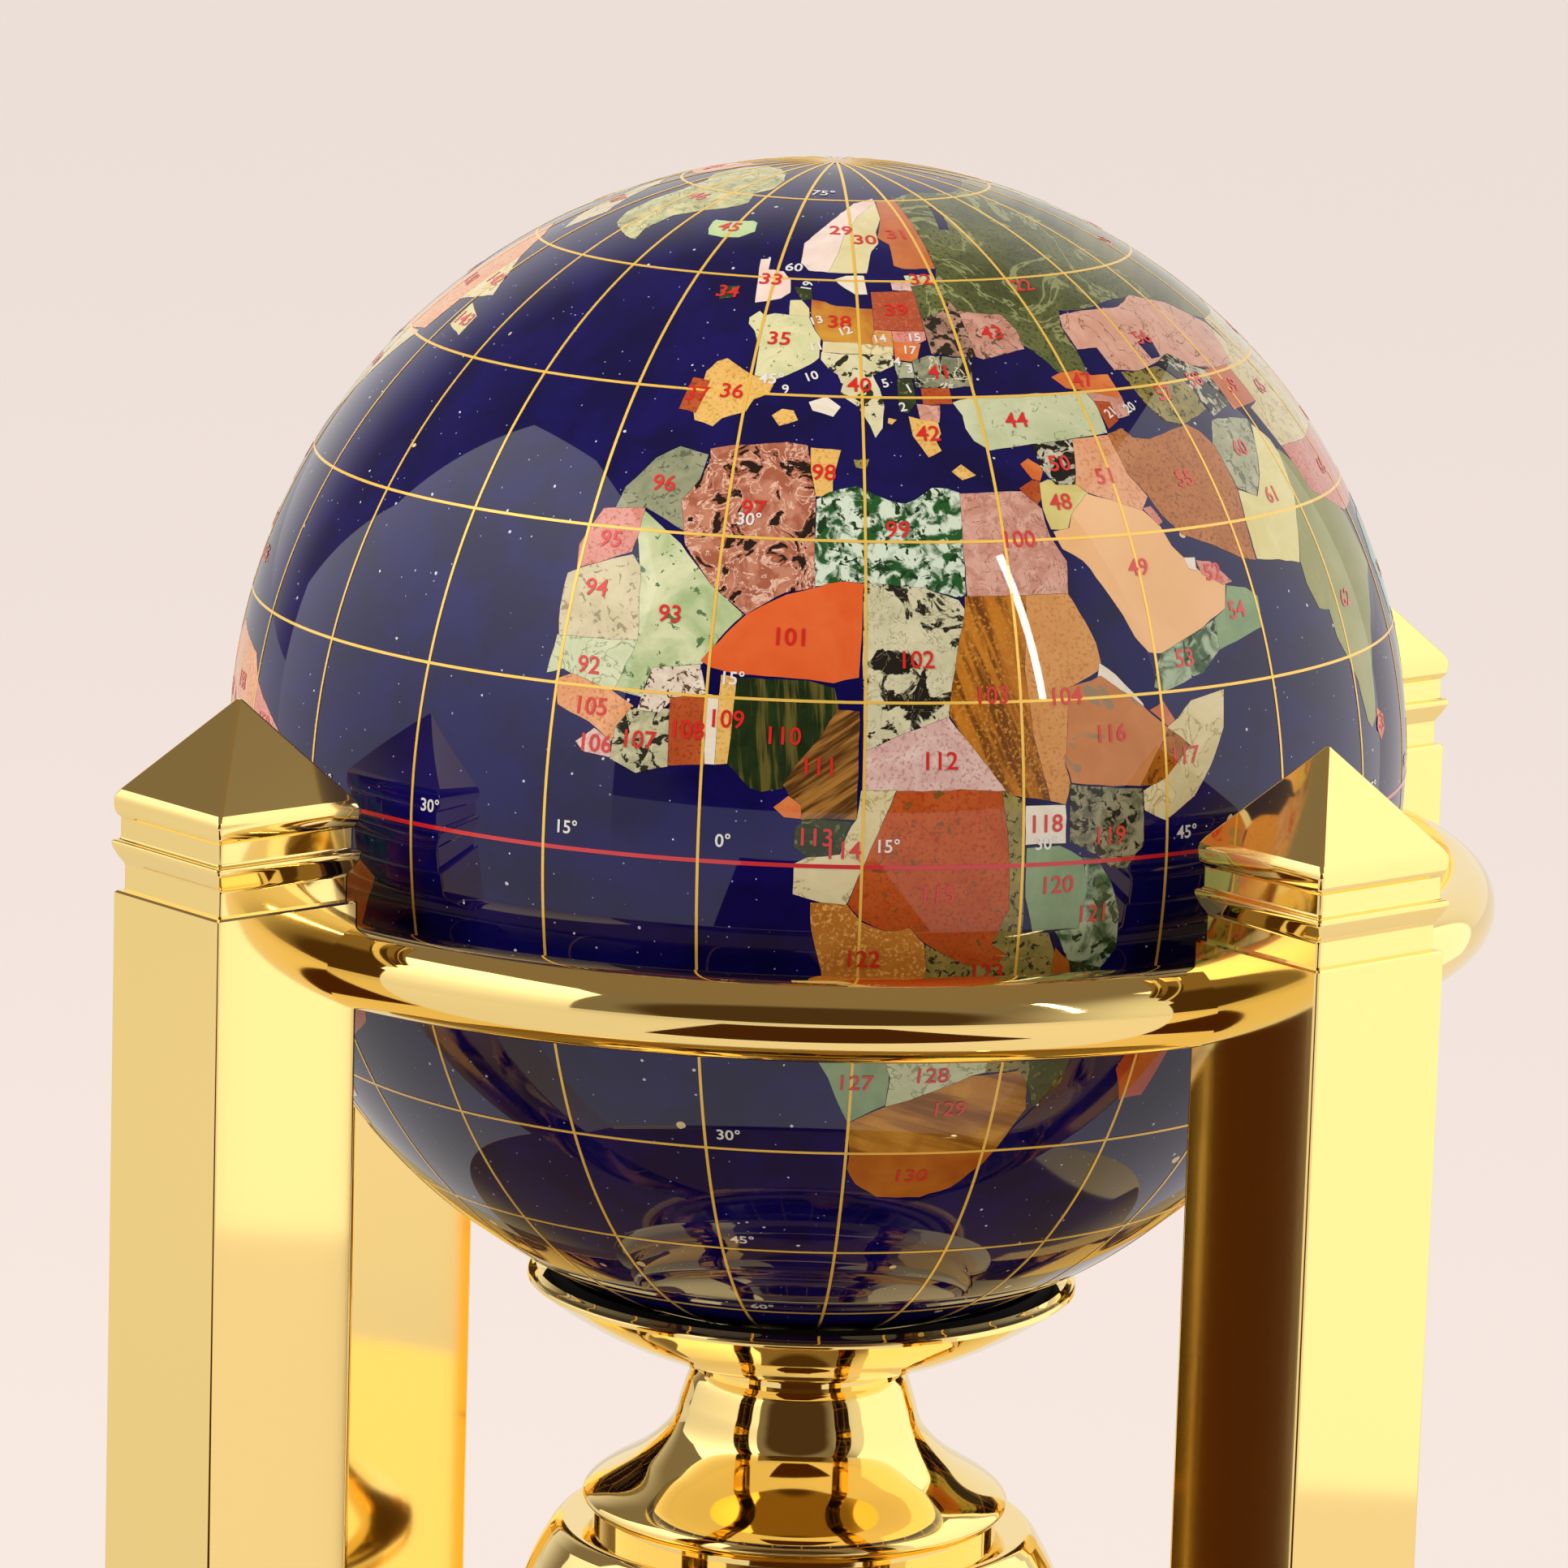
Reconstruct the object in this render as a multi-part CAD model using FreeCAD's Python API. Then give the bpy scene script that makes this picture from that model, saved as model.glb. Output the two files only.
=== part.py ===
"""Desktop gemstone globe on a four-pillar stand, one solid per piece, in millimetres.

Frame: origin on the table under the globe's axis, +Z up, -Y to the front.
The stand is a round base, a turned pedestal with a dish, four square pillars and a ring.
The globe turns on the tie rod's top pin, about the vertical axis.
"""
import FreeCAD, Part
import math
import os
from FreeCAD import Vector

os.makedirs("parts", exist_ok=True)

# ---- driving dimensions -------------------------------------------------------------
GLOBE_R = 75.0               # over the graticule wires
GLOBE_Z = 171.0              # height of the globe's centre
LON0_ANGLE = -96.7           # direction of the zero meridian in the XY plane, degrees

PILLAR_D = 92.3              # globe axis to pillar axis
PILLAR_SIDE = 21.2
PILLAR_WALL = 1.5
PILLAR_TOP = 162.2
EDGE_R = 0.5                 # rounding of the pillar's long edges
BORE_EDGE_R = 0.6            # rounding inside the tube
BORE_SIDE = PILLAR_SIDE - 2 * PILLAR_WALL
PLUG_FIT = 0.1               # a plug or spigot is this much smaller than the bore
PLUG_H = 18.0
SPIGOT_H = 26.0
CAP_H = 24.1                 # finial over the pillar's top
PILLAR_ANGLES = {"fl": 225, "fr": 315, "rr": 45, "rl": 135}

RING_R = 81.9
RING_TUBE_R = 5.13
RING_Z = 154.0
SADDLE_GAP = 0.05            # between the ring and what it sits in
RING_SCREW_R = 1.45
RING_SCREW_L = 19.0
RING_HEAD_R = 2.9
RING_HEAD_H = 2.2
RING_HEAD_SINK = 0.8         # head below the ring's inner side

BASE_R = 118.0
BASE_TOP = 29.0
BASE_SKIN = 3.0
BASE_UNDER = BASE_TOP - BASE_SKIN
BASE_FLAT_R = 107.0          # the flat top ends here
FOOT_H = 3.0
FOOT_R = 9.0
FOOT_D = 96.0
COVER_H = 2.0
COVER_R = 114.0              # recess for the cover in the base's underside
COVER_GAP = 0.2
COVER_HOLE_R = 12.0
BOSS_D = 70.0                # cover screws from the axis
BOSS_R = 4.0
COVER_SCREW_R = 1.4
COVER_SCREW_TOP = 14.0
SCREW_BORE_TOP = 20.0
HEAD_H = 1.6                 # countersunk head

BOLT_R = 2.45                # bolts that hold the pillars
BOLT_HOLE_R = 2.75
BOLT_REACH = 13.0            # above the base
BOLT_HEAD_R = 4.6
BOLT_HEAD_H = 4.0
BOLT_WASHER_R = 5.5
BOLT_WASHER_H = 1.0

DOME_TOP = 68.4
DISH_R = 35.5
DISH_RIM_Z = 100.9
DISH_UNDER_Z = 89.0          # neck and dish meet here
DISH_FLOOR_Z = 91.4
DISH_ARC_R = 57.6            # outside of the bowl
DISH_WALL = 1.8

ROD_R = 4.0
ROD_HOLE_R = 4.2
ROD_BOTTOM = 15.0
NUT_HALF_FLATS = 6.5
NUT_H = 6.5
NUT_FIT = 0.02
ROD_WASHER_R = 10.0
ROD_WASHER_H = 1.6
PIN_R = 3.0
PIN_TOP = 113.0
FLANGE_R = 8.0
FLANGE_H = 2.0
THRUST_H = 0.8
THRUST_GAP = 0.1             # between the thrust washer and the hub
THRUST_R = 7.5
RUN_GAP = 0.05               # radial, pin in bush

LAYER_IN = 73.2              # stones and ocean share this shell
WIRE_IN = 74.8
WIRE_CROSS = 74.9            # parallels end here, meridians bridge them
WIRE_W = 0.35
EQUATOR_W = 0.5
WIRE_SEAT = 0.002            # clearance under a parallel and where a meridian crosses it
WIRE_STEP_GAP = 0.01         # clearance beside a crossing
CORE_IN = 70.4
WIRE_STEP = 15               # degrees between graticule wires
POLE_GAP = 1.6               # degrees of latitude kept clear at a pole
STUD_R = 1.2                 # shank of the stud at the north pole
SEAM_LON = -33.3             # longitude of the sphere surfaces' seam

HUB_R = 7.0
HUB_FLANGE_R = 10.0
HUB_CLEAR = 0.2              # between the hub's flange and the wire ends
HUB_LOW = DISH_FLOOR_Z + FLANGE_H + THRUST_H + THRUST_GAP
HUB_FLANGE_TOP = 102.0       # before it is cut to the globe's curve
HUB_TOP = 117.0
HUB_ROOF = 2.5
SOCKET_WALL = 2.5            # of the core's socket round the hub
BAND_HALF = 6.0              # band that joins the two core halves
BAND_WALL = 3.2
BUSH_R = 5.0

O = Vector(0, 0, 0)
UP = Vector(0, 0, 1)
CENTRE = Vector(0, 0, GLOBE_Z)
NODES = {}


# ---- helpers ------------------------------------------------------------------------
def put(name, shape):
    """Keep a finished node under its name."""
    NODES[name] = shape


def cyl(radius, low, high, x=0.0, y=0.0):
    return Part.makeCylinder(radius, high - low, Vector(x, y, low), UP)


def turned(points):
    """Solid of revolution about Z. A point is (r, z), or (r, z, rm, zm) for an arc to it."""
    edges = []
    last = Vector(points[0][0], 0, points[0][1])
    first = last
    for p in list(points[1:]) + [points[0][:2]]:
        here = Vector(p[0], 0, p[1])
        if (here - last).Length < 1e-6:
            continue
        if len(p) == 4:
            edges.append(Part.Arc(last, Vector(p[2], 0, p[3]), here).toShape())
        else:
            edges.append(Part.makeLine(last, here))
        last = here
    if (last - first).Length > 1e-6:
        edges.append(Part.makeLine(last, first))
    return Part.Face(Part.Wire(edges)).revolve(O, UP, 360)


def square_prism(side, low, high, edge_r=0.0):
    """Upright square prism on the Z axis with rounded long edges."""
    box = Part.makeBox(side, side, high - low, Vector(-side / 2, -side / 2, low))
    if edge_r:
        upright = [e for e in box.Edges if abs(e.tangentAt(e.FirstParameter).z) > 0.9]
        box = box.makeFillet(edge_r, upright)
    return box


def at_pillar(shape, angle):
    """Move a piece made on the Z axis, with +X outward, to its pillar."""
    moved = shape.copy()
    moved.translate(Vector(PILLAR_D, 0, 0))
    moved.rotate(O, UP, angle)
    return moved


def around(shape, angles):
    """Group of separate copies turned about the Z axis."""
    copies = []
    for angle in angles:
        copy = shape.copy()
        copy.rotate(O, UP, angle)
        copies.append(copy)
    return Part.makeCompound(copies)


def ball(radius):
    """Sphere about the origin whose seam runs down the open Atlantic."""
    sphere = Part.makeSphere(radius)
    sphere.rotate(O, UP, SEAM_LON)
    return sphere


def ball_layer(inner, outer):
    return ball(outer).cut(ball(inner))


# ---- base ---------------------------------------------------------------------------
def make_base():
    low = FOOT_H
    side = BASE_FLAT_R + 2
    wall = BASE_FLAT_R - 1
    outer = [(ROD_HOLE_R, BASE_TOP), (BASE_FLAT_R, BASE_TOP), (side, BASE_TOP - 2, side - 0.6, BASE_TOP - 0.6),
             (side, BASE_TOP - 5), (BASE_R - 2, 14.0, BASE_R - 7, 18.0), (BASE_R, 12.0, BASE_R - 0.6, 13.4),
             (BASE_R, low + 1.5), (BASE_R - 1.5, low, BASE_R - 0.44, low + 0.44), (COVER_R, low)]
    inner = [(COVER_R, 11.0), (wall, 17.0, wall + 1.5, 13.0), (wall, BASE_UNDER), (ROD_HOLE_R, BASE_UNDER)]
    plate = turned(outer + inner)
    for angle in PILLAR_ANGLES.values():
        plate = plate.cut(at_pillar(cyl(BOLT_HOLE_R, BASE_UNDER - 1, BASE_TOP + 1), angle))
    for x, y in boss_places():
        boss = cyl(BOSS_R, low + COVER_H, BASE_UNDER, x, y)
        plate = plate.fuse(boss).cut(cyl(COVER_SCREW_R + 0.05, low, SCREW_BORE_TOP, x, y))
    put("base_plate", plate.removeSplitter())

    cover = cyl(COVER_R - COVER_GAP, low, low + COVER_H)
    cover = cover.cut(cyl(COVER_HOLE_R, low - 1, low + COVER_H + 1))
    for x, y in boss_places():
        cover = cover.cut(cyl(COVER_SCREW_R + 0.4, low - 1, low + COVER_H + 1, x, y))
        cover = cover.cut(Part.makeCone(COVER_SCREW_R + 2.2, COVER_SCREW_R + 0.4, HEAD_H, Vector(x, y, low), UP))
    put("base_cover", cover)

    screw = Part.makeCone(COVER_SCREW_R + 1.9, COVER_SCREW_R + 0.1, HEAD_H, Vector(0, 0, low + 0.15), UP)
    screw = screw.fuse(cyl(COVER_SCREW_R, low + HEAD_H + 0.1, COVER_SCREW_TOP)).cut(cyl(0.9, low - 1, low + 1))
    screws = [screw.copy() for _ in boss_places()]
    for one, (x, y) in zip(screws, boss_places()):
        one.translate(Vector(x, y, 0))
    put("cover_screws", Part.makeCompound(screws))

    foot = turned([(0, 0), (FOOT_R - 0.8, 0), (FOOT_R, 0.8, FOOT_R - 0.23, 0.23), (FOOT_R, FOOT_H), (0, FOOT_H)])
    for name, angle in PILLAR_ANGLES.items():
        one = foot.copy()
        one.translate(Vector(FOOT_D, 0, 0))
        one.rotate(O, UP, angle)
        put("foot_" + name, one)


def boss_places():
    return [(BOSS_D, 0), (0, BOSS_D), (-BOSS_D, 0), (0, -BOSS_D)]


# ---- pedestal -----------------------------------------------------------------------
def make_pedestal():
    dome = [(ROD_HOLE_R, DOME_TOP), (28.6, DOME_TOP), (31.0, DOME_TOP - 1, 30.1, DOME_TOP - 0.3),
            (35.6, 58.0, 33.8, 63.0), (39.4, 44.0, 37.4, 51.0), (46.0, 32.6, 41.9, 37.4),
            (50.5, 30.2, 47.9, 31.1), (51.5, BASE_TOP, 51.3, 29.7), (43.0, BASE_TOP), (36.0, 44.0, 38.6, 35.4),
            (28.0, DOME_TOP - 2.5), (ROD_HOLE_R, DOME_TOP - 2.5)]
    put("pedestal_dome", turned(dome))

    neck = [(ROD_HOLE_R, DISH_UNDER_Z), (13.6, DISH_UNDER_Z), (14.2, 88.4, 14.0, 88.8), (15.2, 85.0, 14.6, 86.8),
            (16.5, 81.2, 15.9, 83.2), (20.4, 77.2, 17.9, 78.9), (26.2, 73.6, 23.5, 75.6), (27.7, 71.9, 27.3, 72.9),
            (27.0, 70.7, 27.5, 71.1), (26.2, 70.2), (26.2, DOME_TOP), (23.0, DOME_TOP), (23.0, 72.4), (17.6, 76.6),
            (13.8, 80.8), (12.2, 86.5), (ROD_HOLE_R, 86.5)]
    put("pedestal_neck", turned(neck))

    centre_z = DISH_RIM_Z + math.sqrt(DISH_ARC_R ** 2 - DISH_R ** 2)
    inner_r = DISH_ARC_R - DISH_WALL
    floor_r = math.sqrt(inner_r ** 2 - (centre_z - DISH_FLOOR_Z) ** 2)
    under_r = 14.5
    under_z = centre_z - math.sqrt(DISH_ARC_R ** 2 - under_r ** 2)

    def on_arc(radius, r):
        return centre_z - math.sqrt(radius ** 2 - r ** 2)

    lip_r = DISH_R - 1.1
    lip_z = on_arc(inner_r, lip_r)
    mid_out = (under_r + DISH_R) / 2
    mid_in = (floor_r + lip_r) / 2
    dish = [(ROD_HOLE_R, DISH_UNDER_Z), (12.6, DISH_UNDER_Z), (12.6, DISH_UNDER_Z + 0.9), (under_r, under_z),
            (DISH_R, DISH_RIM_Z, mid_out, on_arc(DISH_ARC_R, mid_out)),
            (lip_r, lip_z, DISH_R - 0.35, DISH_RIM_Z + 0.9),
            (floor_r, DISH_FLOOR_Z, mid_in, on_arc(inner_r, mid_in)), (ROD_HOLE_R, DISH_FLOOR_Z)]
    put("dish", turned(dish))

    felt_top = inner_r - 1.6
    felt = [(20.0, on_arc(inner_r, 20.0)), (32.5, on_arc(inner_r, 32.5), 26.0, on_arc(inner_r, 26.0)),
            (31.7, on_arc(felt_top, 31.7)), (20.0, on_arc(felt_top, 20.0), 26.0, on_arc(felt_top, 26.0))]
    put("dish_felt", turned(felt))


def make_rod():
    pin_low = DISH_FLOOR_Z + FLANGE_H
    rod = [(0, ROD_BOTTOM), (ROD_R - 0.6, ROD_BOTTOM), (ROD_R, ROD_BOTTOM + 0.6), (ROD_R, DISH_FLOOR_Z),
           (FLANGE_R, DISH_FLOOR_Z), (FLANGE_R, pin_low), (PIN_R, pin_low), (PIN_R, PIN_TOP - 0.6),
           (PIN_R - 0.6, PIN_TOP), (0, PIN_TOP)]
    put("tie_rod", turned(rod))
    nut_top = BASE_UNDER - ROD_WASHER_H
    washer = cyl(ROD_WASHER_R, nut_top, BASE_UNDER)
    put("rod_washer", washer.cut(cyl(ROD_HOLE_R, nut_top - 1, BASE_TOP)))
    nut = hexagon(NUT_HALF_FLATS, nut_top - NUT_H, nut_top)
    put("rod_nut", nut.cut(cyl(ROD_R + NUT_FIT, nut_top - NUT_H - 1, BASE_TOP)))
    thrust = cyl(THRUST_R, pin_low, pin_low + THRUST_H)
    put("thrust_washer", thrust.cut(cyl(PIN_R + 0.1, pin_low - 1, pin_low + THRUST_H + 1)))


def hexagon(half_flats, low, high):
    reach = half_flats / math.cos(math.pi / 6)
    corners = [Vector(reach * math.cos(math.radians(60 * i)), reach * math.sin(math.radians(60 * i)), low)
               for i in range(7)]
    return Part.Face(Part.makePolygon(corners)).extrude(Vector(0, 0, high - low))


# ---- pillars, finials and ring ------------------------------------------------------
def finial_blank():
    """Cap with a pyramid, mouldings and a long square spigot, on the Z axis."""
    half = PILLAR_SIDE / 2
    cap = square_prism(PILLAR_SIDE - 1.8, 0.0, 3.25, EDGE_R)
    cap = cap.fuse(square_prism(PILLAR_SIDE - 1.1, 5.9, 9.0, EDGE_R))
    for outline in (ogee_outline(half), shoulder_outline(half)):
        cap = cap.fuse(moulding(outline))
    cap = cap.fuse(tapered(half - 0.4, 12.3, CAP_H))
    cap = cap.fuse(square_prism(BORE_SIDE - PLUG_FIT, -SPIGOT_H, 0.0, BORE_EDGE_R))
    cap.translate(Vector(0, 0, PILLAR_TOP))
    return cap


def ogee_outline(half):
    """(reach, z) outline of the lip and the ogee below it."""
    return [(half + 0.3, 6.2), (half + 0.3, 5.6), (half - 0.9, 3.25)], (half - 0.05, 4.5)


def shoulder_outline(half):
    """(reach, z) outline of the rounded shoulder under the pyramid."""
    return [(half - 0.4, 12.4), (half + 0.1, 11.4), (half - 0.55, 9.0)], (half + 0.05, 10.0)


def moulding(outline):
    """Square moulding: the outline swept round a square, built as four mitred wedges."""
    (top, mid, low), bend = outline
    wall = [Vector(top[0], 0, top[1]), Vector(mid[0], 0, mid[1]), Vector(low[0], 0, low[1])]
    reach = 40.0
    edges = [Part.makeLine(Vector(0, 0, top[1]), wall[0]), Part.makeLine(wall[0], wall[1]),
             Part.Arc(wall[1], Vector(bend[0], 0, bend[1]), wall[2]).toShape(),
             Part.makeLine(wall[2], Vector(0, 0, low[1])),
             Part.makeLine(Vector(0, 0, low[1]), Vector(0, 0, top[1]))]
    face = Part.Face(Part.Wire(edges))
    bar = face.extrude(Vector(0, 2 * reach, 0))
    bar.translate(Vector(0, -reach, 0))
    corners = [O, Vector(reach, reach, 0), Vector(reach, -reach, 0), O]
    wedge = Part.Face(Part.makePolygon(corners)).extrude(Vector(0, 0, 60))
    side = bar.common(wedge)
    whole = side
    for quarter in (90, 180, 270):
        turn = side.copy()
        turn.rotate(O, UP, quarter)
        whole = whole.fuse(turn)
    return whole.removeSplitter()


def tapered(half, low, high):
    """Square pyramid with softened edges and a small blunt tip."""
    tip = 0.35
    base = Part.makePolygon([Vector(sx * half, sy * half, low) for sx, sy in
                             ((1, 1), (-1, 1), (-1, -1), (1, -1), (1, 1))])
    head = Part.makePolygon([Vector(sx * tip, sy * tip, high) for sx, sy in
                             ((1, 1), (-1, 1), (-1, -1), (1, -1), (1, 1))])
    solid = Part.makeLoft([base, head], True, True)
    slopes = [e for e in solid.Edges if 0.1 < abs(e.tangentAt(e.FirstParameter).z) < 0.9]
    return solid.makeFillet(0.3, slopes)


def make_pillars():
    saddle = Part.makeTorus(RING_R, RING_TUBE_R + SADDLE_GAP, Vector(0, 0, RING_Z), UP)
    tube = square_prism(PILLAR_SIDE, BASE_TOP, PILLAR_TOP, EDGE_R)
    tube = tube.cut(square_prism(BORE_SIDE, BASE_TOP - 1, PILLAR_TOP + 1, BORE_EDGE_R))
    cap = finial_blank()
    plug = square_prism(BORE_SIDE - PLUG_FIT, BASE_TOP, BASE_TOP + PLUG_H, BORE_EDGE_R)
    plug = plug.cut(cyl(BOLT_R + 0.05, BASE_TOP - 1, BASE_TOP + BOLT_REACH + 2))
    for name, angle in PILLAR_ANGLES.items():
        put("pillar_" + name, at_pillar(tube, angle).cut(saddle))
        bore = ring_screw_hole(RING_SCREW_R + 0.05, angle)
        put("finial_" + name, at_pillar(cap, angle).cut(saddle).cut(bore))
        put("pillar_plug_" + name, at_pillar(plug, angle))

    head_top = BASE_UNDER - BOLT_WASHER_H
    head_low = head_top - BOLT_HEAD_H
    bolt = cyl(BOLT_R, head_top, BASE_TOP + BOLT_REACH).fuse(cyl(BOLT_HEAD_R, head_low, head_top))
    bolt = bolt.cut(hexagon(2.0, head_low, head_low + 2.5))
    washer = cyl(BOLT_WASHER_R, head_top, BASE_UNDER).cut(cyl(BOLT_R + 0.15, head_low, BASE_TOP))
    put("pillar_bolts", Part.makeCompound([at_pillar(bolt, a) for a in PILLAR_ANGLES.values()]))
    put("pillar_washers", Part.makeCompound([at_pillar(washer, a) for a in PILLAR_ANGLES.values()]))


def ring_screw_hole(radius, angle):
    """Radial bore at ring height, from the ring's inner side into the finial's spigot."""
    hole = Part.makeCylinder(radius, 24.0, Vector(RING_R - RING_TUBE_R - 2, 0, RING_Z), Vector(1, 0, 0))
    hole.rotate(O, UP, angle)
    return hole


def make_ring():
    ring = Part.makeTorus(RING_R, RING_TUBE_R, Vector(0, 0, RING_Z), UP)
    inside = RING_R - RING_TUBE_R
    along = Vector(1, 0, 0)
    for angle in PILLAR_ANGLES.values():
        sink = Part.makeCylinder(RING_HEAD_R + 0.2, RING_HEAD_H + 2.8, Vector(inside - 2, 0, RING_Z), along)
        sink.rotate(O, UP, angle)
        ring = ring.cut(ring_screw_hole(RING_SCREW_R + 0.15, angle)).cut(sink)
    put("ring", ring)
    face = inside + RING_HEAD_SINK
    head = Part.makeCylinder(RING_HEAD_R, RING_HEAD_H, Vector(face, 0, RING_Z), along)
    shank = Part.makeCylinder(RING_SCREW_R, RING_SCREW_L, Vector(face + RING_HEAD_H, 0, RING_Z), along)
    socket = Part.makeCylinder(1.2, 1.3, Vector(face, 0, RING_Z), along)
    put("ring_screws", around(head.fuse(shank).cut(socket), PILLAR_ANGLES.values()))


# ---- globe --------------------------------------------------------------------------
def place_globe(shape):
    """Turn a piece built about the globe's centre to the zero meridian and lift it."""
    moved = shape.copy()
    moved.rotate(O, UP, LON0_ANGLE)
    moved.translate(CENTRE)
    return moved


def direction(lon, lat):
    a, b = math.radians(lon), math.radians(lat)
    return Vector(math.cos(b) * math.cos(a), math.cos(b) * math.sin(a), math.sin(b))


def land_cone(outline):
    """Solid cone over a (longitude, latitude) outline: every side lies on a great circle."""
    rays = [direction(lon, lat) for lon, lat in outline]
    middle = Vector(0, 0, 0)
    for ray in rays:
        middle = middle + ray
    middle.normalize()
    near, far = 30.0, 80.0
    low = [ray * (near / ray.dot(middle)) for ray in rays]
    high = [ray * (far / ray.dot(middle)) for ray in rays]
    faces = [Part.Face(Part.makePolygon(low + low[:1])), Part.Face(Part.makePolygon(high + high[:1]))]
    for i in range(len(rays)):
        j = (i + 1) % len(rays)
        faces.append(Part.Face(Part.makePolygon([low[i], low[j], high[j], high[i], low[i]])))
    solid = Part.Solid(Part.Shell(faces))
    if solid.Volume < 0:
        solid.reverse()
    return solid


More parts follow.
